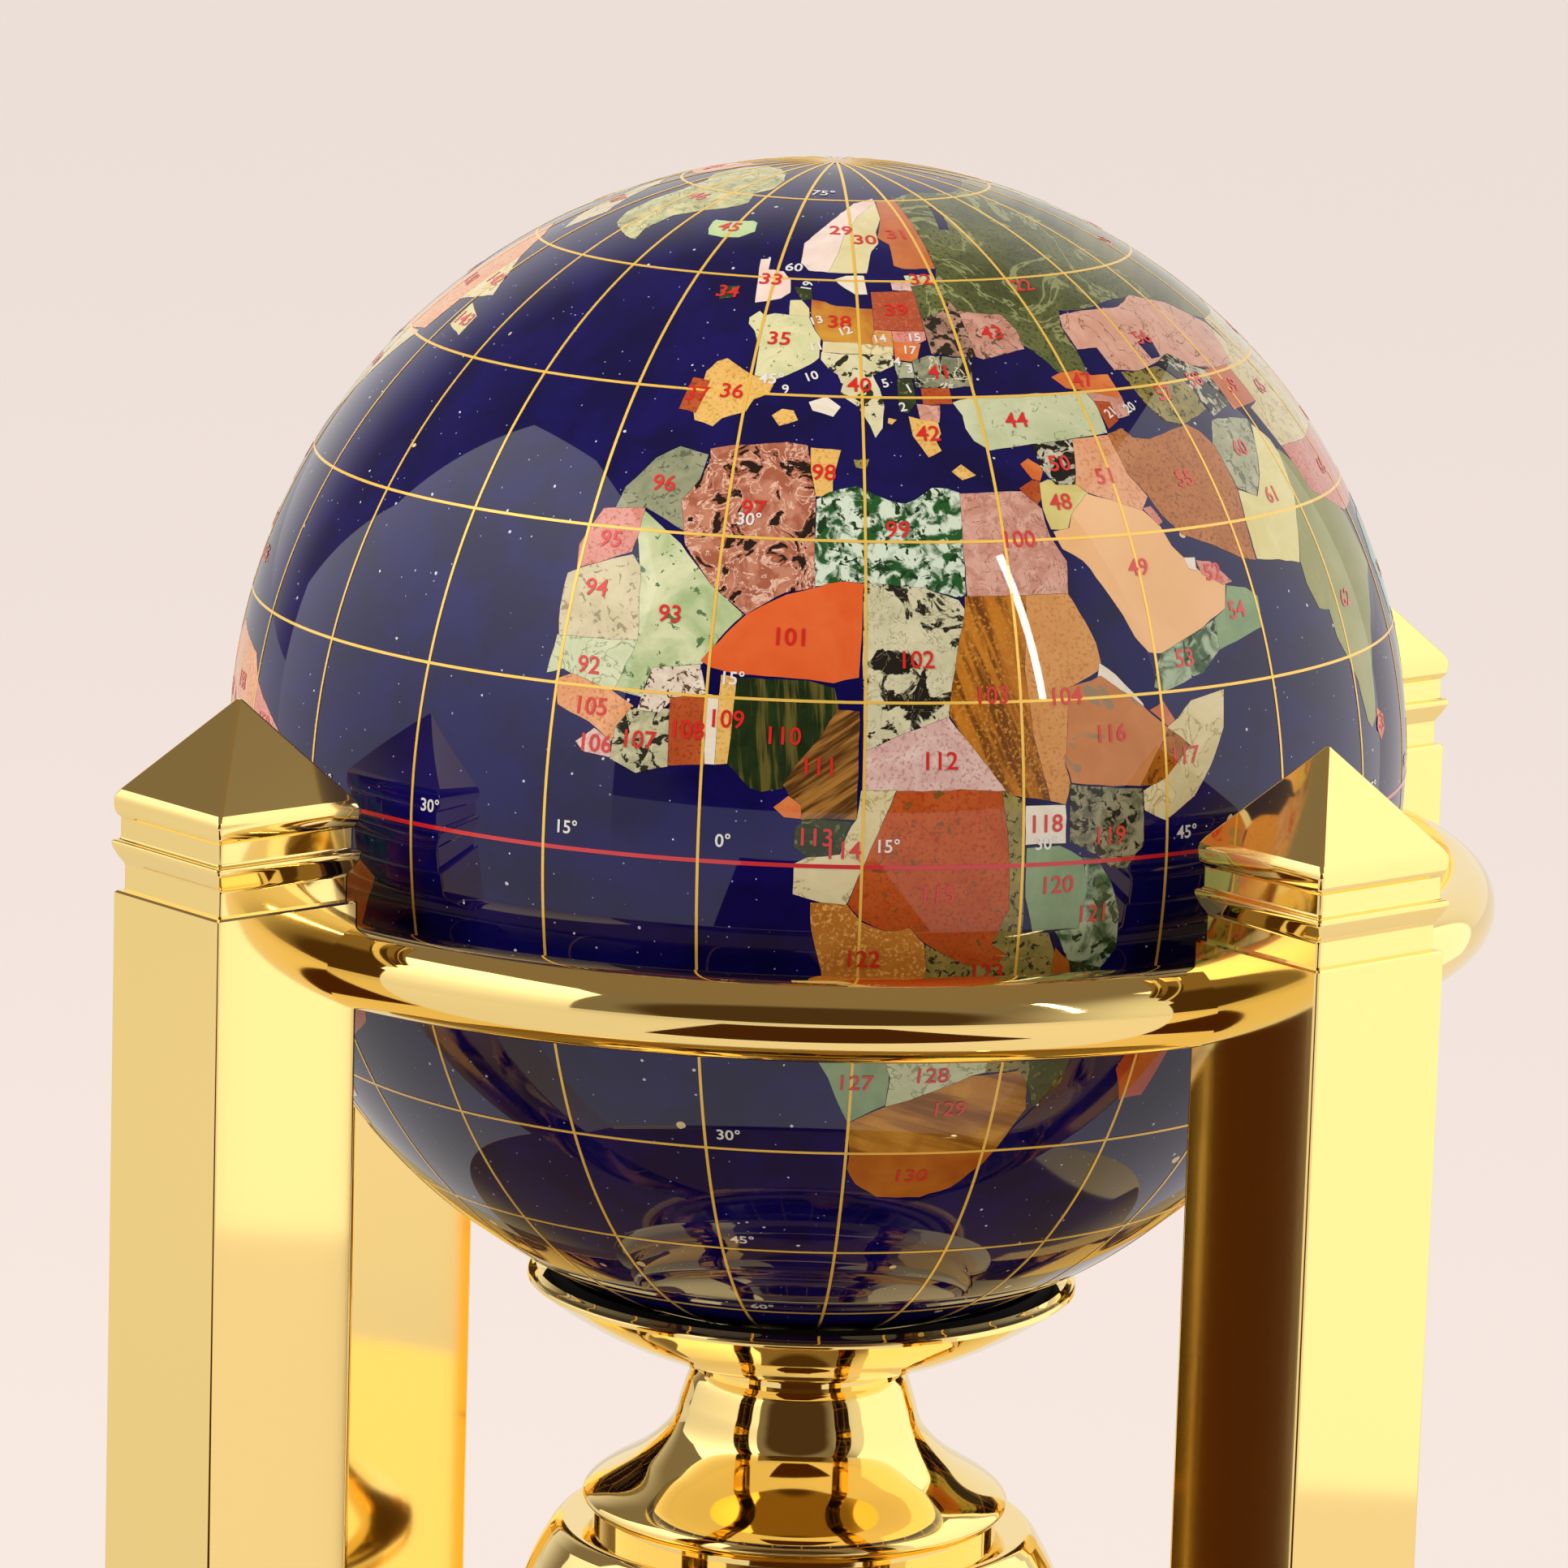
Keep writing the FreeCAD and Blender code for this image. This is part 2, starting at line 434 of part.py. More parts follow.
# Outlines of the stone inlays as (longitude, latitude) in degrees.
LANDS = {
    "africa": [[(-9.8, 37), (-6.8, 38.7), (-3.2, 38.6), (0, 39.3), (6, 39.8), (12.3, 39.2), (11.4, 34.8),
                (14.2, 35.5), (17.5, 34.1), (20.6, 34.2), (24.5, 35.3), (32.4, 34.8), (34.6, 32.6), (35, 30.4),
                (36.6, 27.8), (36.2, 24.7), (38.5, 20), (39.8, 17.2), (43, 14), (46, 12.4), (48.6, 14),
                (52.9, 14.7), (52.3, 11.2), (48.2, 5.2), (44.8, 3.2), (42.4, 3.4), (42.4, 1.2), (40.4, -0.9),
                (39.2, -2), (40.2, -8.6), (39.2, -13), (37.4, -18), (36.8, -22.4), (33.6, -25.4), (31, -30.6),
                (27.5, -34.8), (24, -36), (19, -35.9), (16.3, -34), (15.2, -31), (14.9, -26.2), (12.6, -21),
                (10.8, -18), (12, -13), (11.4, -8), (10.4, -3.6), (8.8, -2.6), (8.8, 3.4), (6.8, 5.2),
                (5.6, 6.6), (2.4, 9), (-3.2, 8.5), (-6.2, 7.6), (-11.5, 9), (-12.2, 11.8), (-15.2, 13.6),
                (-16.2, 15.8), (-16.1, 25), (-13.8, 31.8), (-12, 34.2)]],
    "madagascar": [[(49.3, -12), (50.4, -15.8), (47.2, -25), (44.2, -24.6), (43.4, -21.5), (44.8, -16.3)]],
    "europe": [[(-7.8, 46.4), (-5.2, 48.4), (-3.8, 48.9), (-1.2, 47.7), (0.3, 48), (0.3, 50.5), (-2.2, 53.4),
                (-2.4, 54.2), (-1, 55.2), (3.6, 55), (3.8, 58.8), (7, 58.8), (8, 56.9), (11.5, 56.3), (17.5, 58.4),
                (25.2, 58.6), (30, 59.6), (32, 60), (40, 60), (40, 51.4), (33, 49.4), (30.9, 49.5), (30.3, 46.2),
                (26.8, 46), (26.8, 45.2), (24.6, 44.2), (24.6, 41), (22.7, 38.5), (20.8, 42), (19.7, 45),
                (19.6, 48.6), (16.6, 47.6), (17.8, 44), (16.5, 40.5), (14.4, 44), (12, 45.2), (11.8, 47.6),
                (8.6, 48.9), (4.7, 47.2), (3.4, 46.4), (2.9, 45), (0.3, 42.9), (-3.5, 41.1), (-6.3, 42),
                (-8.4, 42.7)]],
    "scandinavia": [[(4, 65.9), (6.5, 68), (12.5, 72), (17, 74.3), (25, 75.6), (33, 75.6), (32.3, 69), (31.4, 61.9),
                     (24.6, 61.9), (23, 62.5), (23.6, 66), (21.2, 66.6), (18.3, 63.3), (17.3, 61.2), (9.8, 61.2),
                     (6, 61.4), (4.2, 62.6)],
                    [(11, 60.2), (13.2, 60.8), (16.6, 60.8), (17, 59.4), (14.8, 58)]],
    "british_isles": [[(-4.3, 62.8), (-2.2, 63), (-1.8, 61.3), (1.2, 61.1), (3, 59.8), (3.4, 58), (2, 57),
                       (-2.3, 56.2), (-2.6, 57.8), (-3.3, 60)],
                      [(-9.4, 58.2), (-6, 58.6), (-6.6, 56.8), (-8.6, 56.4)]],
    "iceland": [[(-22.3, 68.8), (-11.5, 69.5), (-9, 67.5), (-12, 66.2), (-20, 66.2), (-21.8, 67.4)]],
    "greenland": [[(-54, 67.5), (-46, 64.9), (-37, 63.8), (-36.5, 68.6), (-25, 71.2), (-18.8, 73.2), (-16.5, 77),
                   (-25, 82), (-40, 83.3), (-62, 83), (-66, 78), (-56, 76.5), (-54, 73.5)]],
    "asia": [[(40, 60), (32, 60), (33, 69), (34, 75.6), (62, 76), (96, 78), (128, 73), (150, 71.5), (172, 70),
              (189, 66), (178, 62.5), (163, 60), (162, 56.5), (157, 51.2), (156, 58), (142, 59), (136, 54.5),
              (140.5, 48.5), (131, 43), (127.5, 39.5), (129.3, 35.5), (126.3, 34.8), (125, 39.5), (118, 39),
              (122, 37), (119.5, 34.5), (121.8, 31), (117, 23.5), (108, 21.6), (105.8, 19), (109.2, 12.5),
              (105, 8.8), (100.5, 13.3), (103.9, 1.6), (98.3, 9), (97.5, 16.3), (94.3, 16.3), (91, 22.5), (87, 21),
              (80.2, 13), (78, 7.6), (75.8, 12.5), (73, 17.2), (72.8, 19.8), (69.8, 22.8), (69.6, 24.9), (62, 26),
              (55.8, 28.2), (50.2, 31.5), (48.6, 33.2), (44, 34), (41, 34.8), (37.8, 32.6), (36, 31.8),
              (33.6, 34.4), (34, 37.8), (36, 39.5), (30.3, 39.1), (27.7, 41.6), (27.8, 43.4), (30, 45.1),
              (43, 45.6), (42.8, 48.8), (40, 51.4)]],
    "arabia": [[(35.6, 30.4), (38.4, 32), (41, 33.8), (44, 33.2), (47.6, 32), (49.4, 30.2), (51.5, 27), (55, 26.4),
                (60.4, 22.6), (59.9, 19.8), (53.2, 18.3), (50.5, 16.4), (44.6, 15.2), (43, 20.2), (40.3, 25.2),
                (37.4, 28.4)]],
    "japan": [[(130.2, 32), (132, 33.8), (136, 33.7), (140.8, 35.6), (141.9, 39.5), (145.3, 43.4), (141.8, 45.4),
               (139.8, 41.5), (139.5, 38.5), (136.8, 37.2), (131, 34.6)]],
    "sunda_islands": [[(95.3, 5.6), (106, -5.6), (102.5, -4.3), (96, 2.6)],
                      [(109, 1.5), (117, 7), (119, 5.2), (117.5, 0.8), (116, -4), (110.2, -2.8)],
                      [(105.2, -6.8), (114.5, -8.6), (114.5, -7.6), (107, -5.9)],
                      [(119.4, -5.4), (120.3, -3), (123, -0.9), (125, 1.5), (120.2, 1.1), (118.8, -3)],
                      [(131, -0.8), (138, -1.7), (147.5, -6), (150.5, -10.5), (143, -9.2), (138, -8.3), (135, -4.3)],
                      [(120.3, 18.5), (122.2, 18.3), (124, 13), (126.5, 7), (122.2, 7.2), (120.3, 14)]],
    "australia": [[(114, -22), (114.8, -34.3), (118.5, -35), (129, -31.7), (136, -35), (140.5, -38), (147, -38.8),
                   (150.2, -37), (153.5, -28), (146, -18.8), (142.4, -11), (140.8, -17.5), (136, -15), (136.5, -12),
                   (131, -12), (128, -15), (122.3, -18)],
                  [(144.8, -40.8), (148.2, -40.9), (147.5, -43.4), (145.6, -43)]],
    "new_zealand": [[(172.8, -34.5), (178.3, -37.8), (175.3, -41.6), (174, -39.5)],
                    [(172.8, -40.8), (174.2, -41.5), (170.5, -45.8), (168.5, -46.6), (166.7, -45.8)]],
    "north_america": [[(-168, 66), (-156, 71.2), (-128, 70), (-95, 74), (-82, 73), (-79, 83), (-62, 82.3), (-75, 76),
                       (-62, 66.5), (-70, 62), (-78, 62.3), (-82, 67.5), (-94, 60.5), (-92.5, 57), (-82, 52.8),
                       (-79, 51.5), (-78, 61.8), (-70, 60.6), (-61, 56), (-56, 52), (-53, 47.5), (-65, 44), (-70, 42.3),
                       (-76, 35), (-81, 31), (-80.4, 25.4), (-83, 29.6), (-90, 29.6), (-97.4, 27.5), (-97, 20.3),
                       (-94.5, 18.2), (-87.2, 21.3), (-88.5, 16), (-83.3, 15), (-83, 10), (-77.4, 8.7), (-77.9, 7.2), (-80.5, 7.4),
                       (-88, 13), (-95, 16), (-105.5, 20.3), (-113, 31), (-110, 23), (-117, 32.5), (-124, 40),
                       (-124, 48.3), (-134, 58.3), (-150, 60), (-163, 55.2), (-158, 58.8), (-165.5, 61.5)]],
    "caribbean": [[(-84.8, 21.9), (-81, 23.2), (-74.3, 20.2), (-77.6, 19.9)], [(-74.3, 18.4), (-72, 19.9), (-68.5, 18.5)]],
    "south_america": [[(-77.9, 7.2), (-77.4, 8.7), (-72, 12.2), (-62, 10.6), (-51.5, 4.3), (-50, 0), (-40, -3), (-35, -6),
                       (-38.8, -13), (-40.8, -21.8), (-48.5, -26.5), (-53.5, -33.6), (-58, -35), (-57.5, -38.2),
                       (-62.2, -39), (-65.2, -44), (-69, -52), (-66, -54.7), (-71.5, -54.3), (-75.4, -49),
                       (-73.5, -40), (-71.3, -30), (-70.3, -18.3), (-76.3, -13.8), (-81, -5), (-80, 0.5)]],
    "antarctica": [[(lon, lat) for lon, lat in ((-60, -64), (-57, -72), (-30, -77.5), (0, -70), (30, -69), (60, -67.5),
                                                (90, -66.5), (120, -66.8), (145, -67.5), (168, -72), (170, -78),
                                                (200, -78), (225, -75), (260, -72.5), (285, -73), (296, -68))]],
}


def hub_hole():
    return cyl(HUB_R, -GLOBE_R, -CORE_IN + 20)


def stud_hole():
    return cyl(STUD_R, CORE_IN - 2, GLOBE_R)


def make_lands():
    layer = ball_layer(LAYER_IN, WIRE_IN)
    cones = []
    for name, outlines in LANDS.items():
        stones = []
        for outline in outlines:
            cone = land_cone(outline)
            cones.append(cone)
            stone = layer.common(cone).cut(hub_hole())
            stones.extend(stone.Solids)
        shape = stones[0] if len(stones) == 1 else Part.makeCompound(stones)
        put("inlay_" + name, place_globe(shape))
    return cones


def half_space(north):
    size = 100
    return Part.makeBox(2 * size, 2 * size, size, Vector(-size, -size, 0 if north else -size))


def make_shells(cones):
    layer = ball_layer(LAYER_IN, WIRE_IN).cut(hub_hole()).cut(stud_hole())
    ocean = layer.cut(cones)
    core = ball_layer(CORE_IN, LAYER_IN).cut(hub_hole()).cut(stud_hole())
    socket = cyl(HUB_R + SOCKET_WALL, -CORE_IN, HUB_TOP - GLOBE_Z - 2)
    socket = socket.common(Part.makeSphere(CORE_IN + 0.5)).cut(hub_hole())
    for name, north in (("north", True), ("south", False)):
        half = half_space(north)
        put("ocean_" + name, place_globe(ocean.common(half)))
        shell = core.common(half)
        if not north:
            shell = shell.fuse(socket).removeSplitter()
        put("core_" + name, place_globe(shell))
    band = Part.makeSphere(CORE_IN).common(cyl(CORE_IN, -BAND_HALF, BAND_HALF))
    band = band.cut(cyl(CORE_IN - BAND_WALL, -BAND_HALF - 1, BAND_HALF + 1))
    put("core_band", place_globe(band))


def parallel_ring(lat, width=WIRE_W):
    """Thin band round the globe at one latitude, square to the surface."""
    half = math.degrees(width / 2 / WIRE_IN)
    low = WIRE_IN + WIRE_SEAT
    corners = []
    for radius, offset in ((low, -half), (low, half), (WIRE_CROSS, half), (WIRE_CROSS, -half)):
        ray = direction(0, lat + offset)
        corners.append(Vector(radius * ray.x, 0, radius * ray.z))
    return Part.Face(Part.makePolygon(corners + corners[:1])).revolve(O, UP, 360)


def arc_edge(radius, first, last):
    """Arc in the XZ plane about the origin, from one latitude to another."""
    ends = []
    for lat in (first, (first + last) / 2, last):
        ray = direction(0, lat)
        ends.append(Vector(radius * ray.x, 0, radius * ray.z))
    return Part.Arc(*ends).toShape()


def meridian_wire():
    """Half-circle wire in the XZ plane that steps over every parallel."""
    south = math.degrees(math.acos((HUB_FLANGE_R + HUB_CLEAR) / WIRE_IN))
    north = 90 - POLE_GAP
    edges = [arc_edge(GLOBE_R, north, -south)]
    here = -south
    for lat in range(-75, 90, WIRE_STEP):
        width = WIRE_W if lat else EQUATOR_W
        half = math.degrees((width / 2 + WIRE_STEP_GAP) / WIRE_IN)
        edges.append(arc_edge(WIRE_IN, here, lat - half))
        edges.append(arc_edge(WIRE_CROSS + WIRE_SEAT, lat - half, lat + half))
        here = lat + half
    edges.append(arc_edge(WIRE_IN, here, north))
    closed = []
    for i, edge in enumerate(edges):
        closed.append(edge)
        start = edges[(i + 1) % len(edges)].firstVertex(True).Point
        closed.append(Part.makeLine(edge.lastVertex(True).Point, start))
    side = Part.Face(Part.Wire(closed))
    side.translate(Vector(0, -WIRE_W / 2, 0))
    return side.extrude(Vector(0, WIRE_W, 0))


def make_wires():
    rings = [parallel_ring(lat) for lat in range(-75, 90, WIRE_STEP) if lat]
    put("parallel_wires", place_globe(Part.makeCompound(rings)))
    put("equator_line", place_globe(parallel_ring(0, EQUATOR_W)))
    put("meridian_wires", place_globe(around(meridian_wire(), range(0, 360, WIRE_STEP))))

    edge = GLOBE_R * math.sin(math.radians(POLE_GAP)) - 0.05
    under = math.sqrt(WIRE_IN ** 2 - edge ** 2)
    top = math.sqrt(GLOBE_R ** 2 - edge ** 2)
    stud = turned([(0, CORE_IN - 1), (STUD_R, CORE_IN - 1), (STUD_R, WIRE_IN), (edge, under), (edge, top),
                   (0.6 * edge, GLOBE_R), (0, GLOBE_R)])
    put("pole_stud", place_globe(stud))


def make_hub():
    hub = cyl(HUB_FLANGE_R, HUB_LOW, HUB_FLANGE_TOP).cut(Part.makeSphere(WIRE_IN, CENTRE))
    hub = hub.fuse(cyl(HUB_R, HUB_LOW, HUB_TOP))
    hub = hub.cut(cyl(BUSH_R, HUB_LOW - 1, HUB_TOP - HUB_ROOF))
    put("globe_hub", hub)
    bush = cyl(BUSH_R, HUB_LOW, HUB_TOP - HUB_ROOF).cut(cyl(PIN_R + RUN_GAP, HUB_LOW - 1, HUB_TOP))
    put("hub_bush", bush)


def check_and_write():
    for name, shape in NODES.items():
        bad = [i for i, s in enumerate(shape.Solids) if not s.isValid() or s.Volume <= 0]
        if bad or not shape.Solids:
            print("BAD", name, bad)
        shape.exportStep("parts/%s.step" % name)
        print("%-22s solids %3d  volume %10.1f" % (name, len(shape.Solids), shape.Volume))
    print(len(NODES), "nodes")


make_base()
make_pedestal()
make_rod()
make_pillars()
make_ring()
make_hub()
make_shells(make_lands())
make_wires()
check_and_write()
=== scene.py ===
"""Looks of the desktop gemstone globe on its gold four-pillar stand, in metres.

The stones, ocean, graticule, numerals and polished gold are rebuilt here as fine meshes
that stand for the CAD nodes; inner hardware keeps its CAD mesh and only gets a material.
"""
import math

import bpy
import numpy as np
from mathutils import Matrix, Vector, geometry, noise


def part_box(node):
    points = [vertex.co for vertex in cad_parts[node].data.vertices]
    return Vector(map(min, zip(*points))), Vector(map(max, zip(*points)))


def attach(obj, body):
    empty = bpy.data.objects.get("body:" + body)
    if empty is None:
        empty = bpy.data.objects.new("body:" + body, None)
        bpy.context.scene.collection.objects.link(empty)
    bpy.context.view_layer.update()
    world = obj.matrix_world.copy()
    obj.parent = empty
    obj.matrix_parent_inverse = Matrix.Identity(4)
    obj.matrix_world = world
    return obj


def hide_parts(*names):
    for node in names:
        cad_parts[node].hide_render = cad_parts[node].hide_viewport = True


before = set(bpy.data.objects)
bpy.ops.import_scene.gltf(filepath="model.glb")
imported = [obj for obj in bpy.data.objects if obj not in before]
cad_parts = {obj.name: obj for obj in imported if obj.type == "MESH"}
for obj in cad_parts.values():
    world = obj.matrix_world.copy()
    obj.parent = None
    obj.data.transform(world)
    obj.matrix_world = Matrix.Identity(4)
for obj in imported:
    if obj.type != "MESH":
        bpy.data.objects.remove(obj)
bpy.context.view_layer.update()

MM = 0.001
GLOBE_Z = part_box("ocean_north")[0].z / MM     # the northern half starts at the centre
LON0_ANGLE = -96.7                  # direction of the zero meridian, degrees
OCEAN_R = 74.93
STONE_R = 74.97
STONE_FOOT_R = 74.4
PARALLEL_R = 74.99
MERIDIAN_R = 75.0
WIRE_WIDTH = 0.35
EQUATOR_WIDTH = 0.5
WIRE_STEP = 15                      # degrees between wires
WIRE_SOUTH, WIRE_NORTH = -82.2, 88.5    # a meridian wire's ends, at the hub and the pole stud
STONE_GAP = 0.02                    # each stone is inset this much at its edge
PRINT_R = 75.01
PRINT_DEPTH = 0.02
PRINT_BOLDER = 0.03                 # added to each stroke's outline
CAP_SHARE = 0.7                     # height of a figure as a share of the font's size

PILLAR_D = 92.3
PILLAR_HALF = 10.6
PILLAR_TOP = 162.2
BASE_TOP = 29.0
BASE_UNDER = 26.0
BASE_LOW = 3.0                      # the base ends this far over the table, on its feet
DOME_TOP = 68.4
NECK_TOP = 89.0
BORE_R = 4.2                        # the tie rod passes through base, dome, neck and dish
CORNER_R = 0.5
PILLAR_ANGLES = {"fl": 225, "fr": 315, "rr": 45, "rl": 135}


# ---- colours and materials ----------------------------------------------------------
def linear(rgb):
    """Linear RGBA of an sRGB colour given as 0-255."""
    out = []
    for value in rgb:
        v = value / 255
        out.append(v / 12.92 if v <= 0.04045 else ((v + 0.055) / 1.055) ** 2.4)
    return (*out, 1.0)


class Paint:
    """A material with a Principled shader and short ways to add texture nodes."""

    def __init__(self, name, rough=0.3, metallic=0.0, coat=0.0, seed=0.0):
        self.mat = bpy.data.materials.new(name)
        self.mat.use_nodes = True
        self.tree = self.mat.node_tree
        self.shader = self.tree.nodes["Principled BSDF"]
        self.set(self.shader, Roughness=rough, Metallic=metallic)
        self.shader.inputs["Coat Weight"].default_value = coat
        self.shader.inputs["Coat Roughness"].default_value = 0.02
        self.coords = None
        self.seed = seed

    def add(self, kind, **values):
        node = self.tree.nodes.new(kind)
        self.set(node, **values)
        return node

    @staticmethod
    def set(node, **values):
        for key, value in values.items():
            node.inputs[key.replace("_", " ")].default_value = value

    def link(self, out, socket):
        self.tree.links.new(out, socket)

    def place(self, stretch=(1, 1, 1), turn=(0, 0, 0)):
        """Object coordinates in millimetres, turned, then stretched and shifted by the seed."""
        if self.coords is None:
            self.coords = self.add("ShaderNodeTexCoord")
        turned = self.add("ShaderNodeMapping")
        turned.inputs["Rotation"].default_value = [math.radians(a) for a in turn]
        self.link(self.coords.outputs["Object"], turned.inputs["Vector"])
        moved = self.add("ShaderNodeMapping")
        moved.inputs["Location"].default_value = (self.seed * 31, self.seed * 17, self.seed * 7)
        moved.inputs["Scale"].default_value = [s / MM for s in stretch]
        self.link(turned.outputs["Vector"], moved.inputs["Vector"])
        return moved.outputs["Vector"]

    def noise(self, size, detail=3.0, rough=0.55, warp=0.0, **where):
        node = self.add("ShaderNodeTexNoise", Scale=1.0 / size, Detail=detail, Roughness=rough,
                        Distortion=warp)
        self.link(self.place(**where), node.inputs["Vector"])
        return node.outputs["Fac"]

    def cells(self, size, **where):
        node = self.add("ShaderNodeTexVoronoi", Scale=1.0 / size)
        self.link(self.place(**where), node.inputs["Vector"])
        return node

    def ramp(self, value, low, high):
        """0 below low, 1 above high, eased between; low may be the larger one."""
        node = self.add("ShaderNodeMapRange")
        node.interpolation_type = "SMOOTHSTEP"
        self.set(node, From_Min=low, From_Max=high)
        self.link(value, node.inputs["Value"])
        return node.outputs["Result"]

    def math(self, kind, a, b):
        node = self.add("ShaderNodeMath")
        node.operation = kind
        for socket, value in zip(node.inputs, (a, b)):
            if isinstance(value, (int, float)):
                socket.default_value = value
            else:
                self.link(value, socket)
        return node.outputs[0]

    def mix(self, factor, a, b):
        """Colour from a to b; either may be an sRGB triple or a socket."""
        node = self.add("ShaderNodeMix")
        node.data_type = "RGBA"
        self.link(factor, node.inputs["Factor"])
        for socket, value in ((node.inputs[6], a), (node.inputs[7], b)):
            if isinstance(value, tuple):
                socket.default_value = linear(value)
            else:
                self.link(value, socket)
        return node.outputs[2]

    def colour(self, value):
        socket = self.shader.inputs["Base Color"]
        if isinstance(value, tuple):
            socket.default_value = linear(value)
        else:
            self.link(value, socket)

    def bump(self, height, strength, distance):
        node = self.add("ShaderNodeBump", Strength=strength, Distance=distance * MM)
        self.link(height, node.inputs["Height"])
        self.link(node.outputs["Normal"], self.shader.inputs["Normal"])


BAND_STRETCH = (1, 0.1, 0.07)       # noise drawn out into long streaks
BAND_EDGES = (0.42, 0.62)           # noise values where a band fades in
GRAIN_EDGES = (0.5, 0.68)
FLECK_NONE, FLECK_SPAN = 0.66, 0.34    # noise value that no fleck reaches, and its drop at share 1


def stone_paint(name, seed, base, second, size=4.0, sharp=0.25, flecks=None, fleck_size=1.0,
                fleck_share=0.3, veins=None, vein_size=5.0, vein_width=0.02, bands=None,
                band_size=3.0, band_turn=(0, 0, 0), grain=None, grain_size=0.45):
    """A polished stone: two blended colours, then bands, grain, flecks and veins."""
    paint = Paint(name, rough=0.35, coat=1.0, seed=seed)
    paint.set(paint.shader, Specular_IOR_Level=0.0)
    blend = paint.ramp(paint.noise(size, 4, 0.6, 0.6), 0.5 - sharp, 0.5 + sharp)
    tone = paint.mix(blend, base, second)
    if bands:
        streaks = paint.noise(band_size, 3, 0.6, 0.2, stretch=BAND_STRETCH, turn=band_turn)
        tone = paint.mix(paint.ramp(streaks, *BAND_EDGES), tone, bands)
    if grain:
        tone = paint.mix(paint.ramp(paint.noise(grain_size, 2, 0.6), *GRAIN_EDGES), tone, grain)
    if flecks:
        spots = paint.noise(fleck_size, 4, 0.62, 0.8)
        edge = FLECK_NONE - FLECK_SPAN * fleck_share
        tone = paint.mix(paint.ramp(spots, edge, edge + 0.03), tone, flecks)
    if veins:
        offset = paint.math("SUBTRACT", paint.noise(vein_size, 5, 0.6, 1.0), 0.5)
        line = paint.math("ABSOLUTE", offset, 0)
        tone = paint.mix(paint.ramp(line, vein_width, 0.3 * vein_width), tone, veins)
    paint.colour(tone)
    return paint.mat


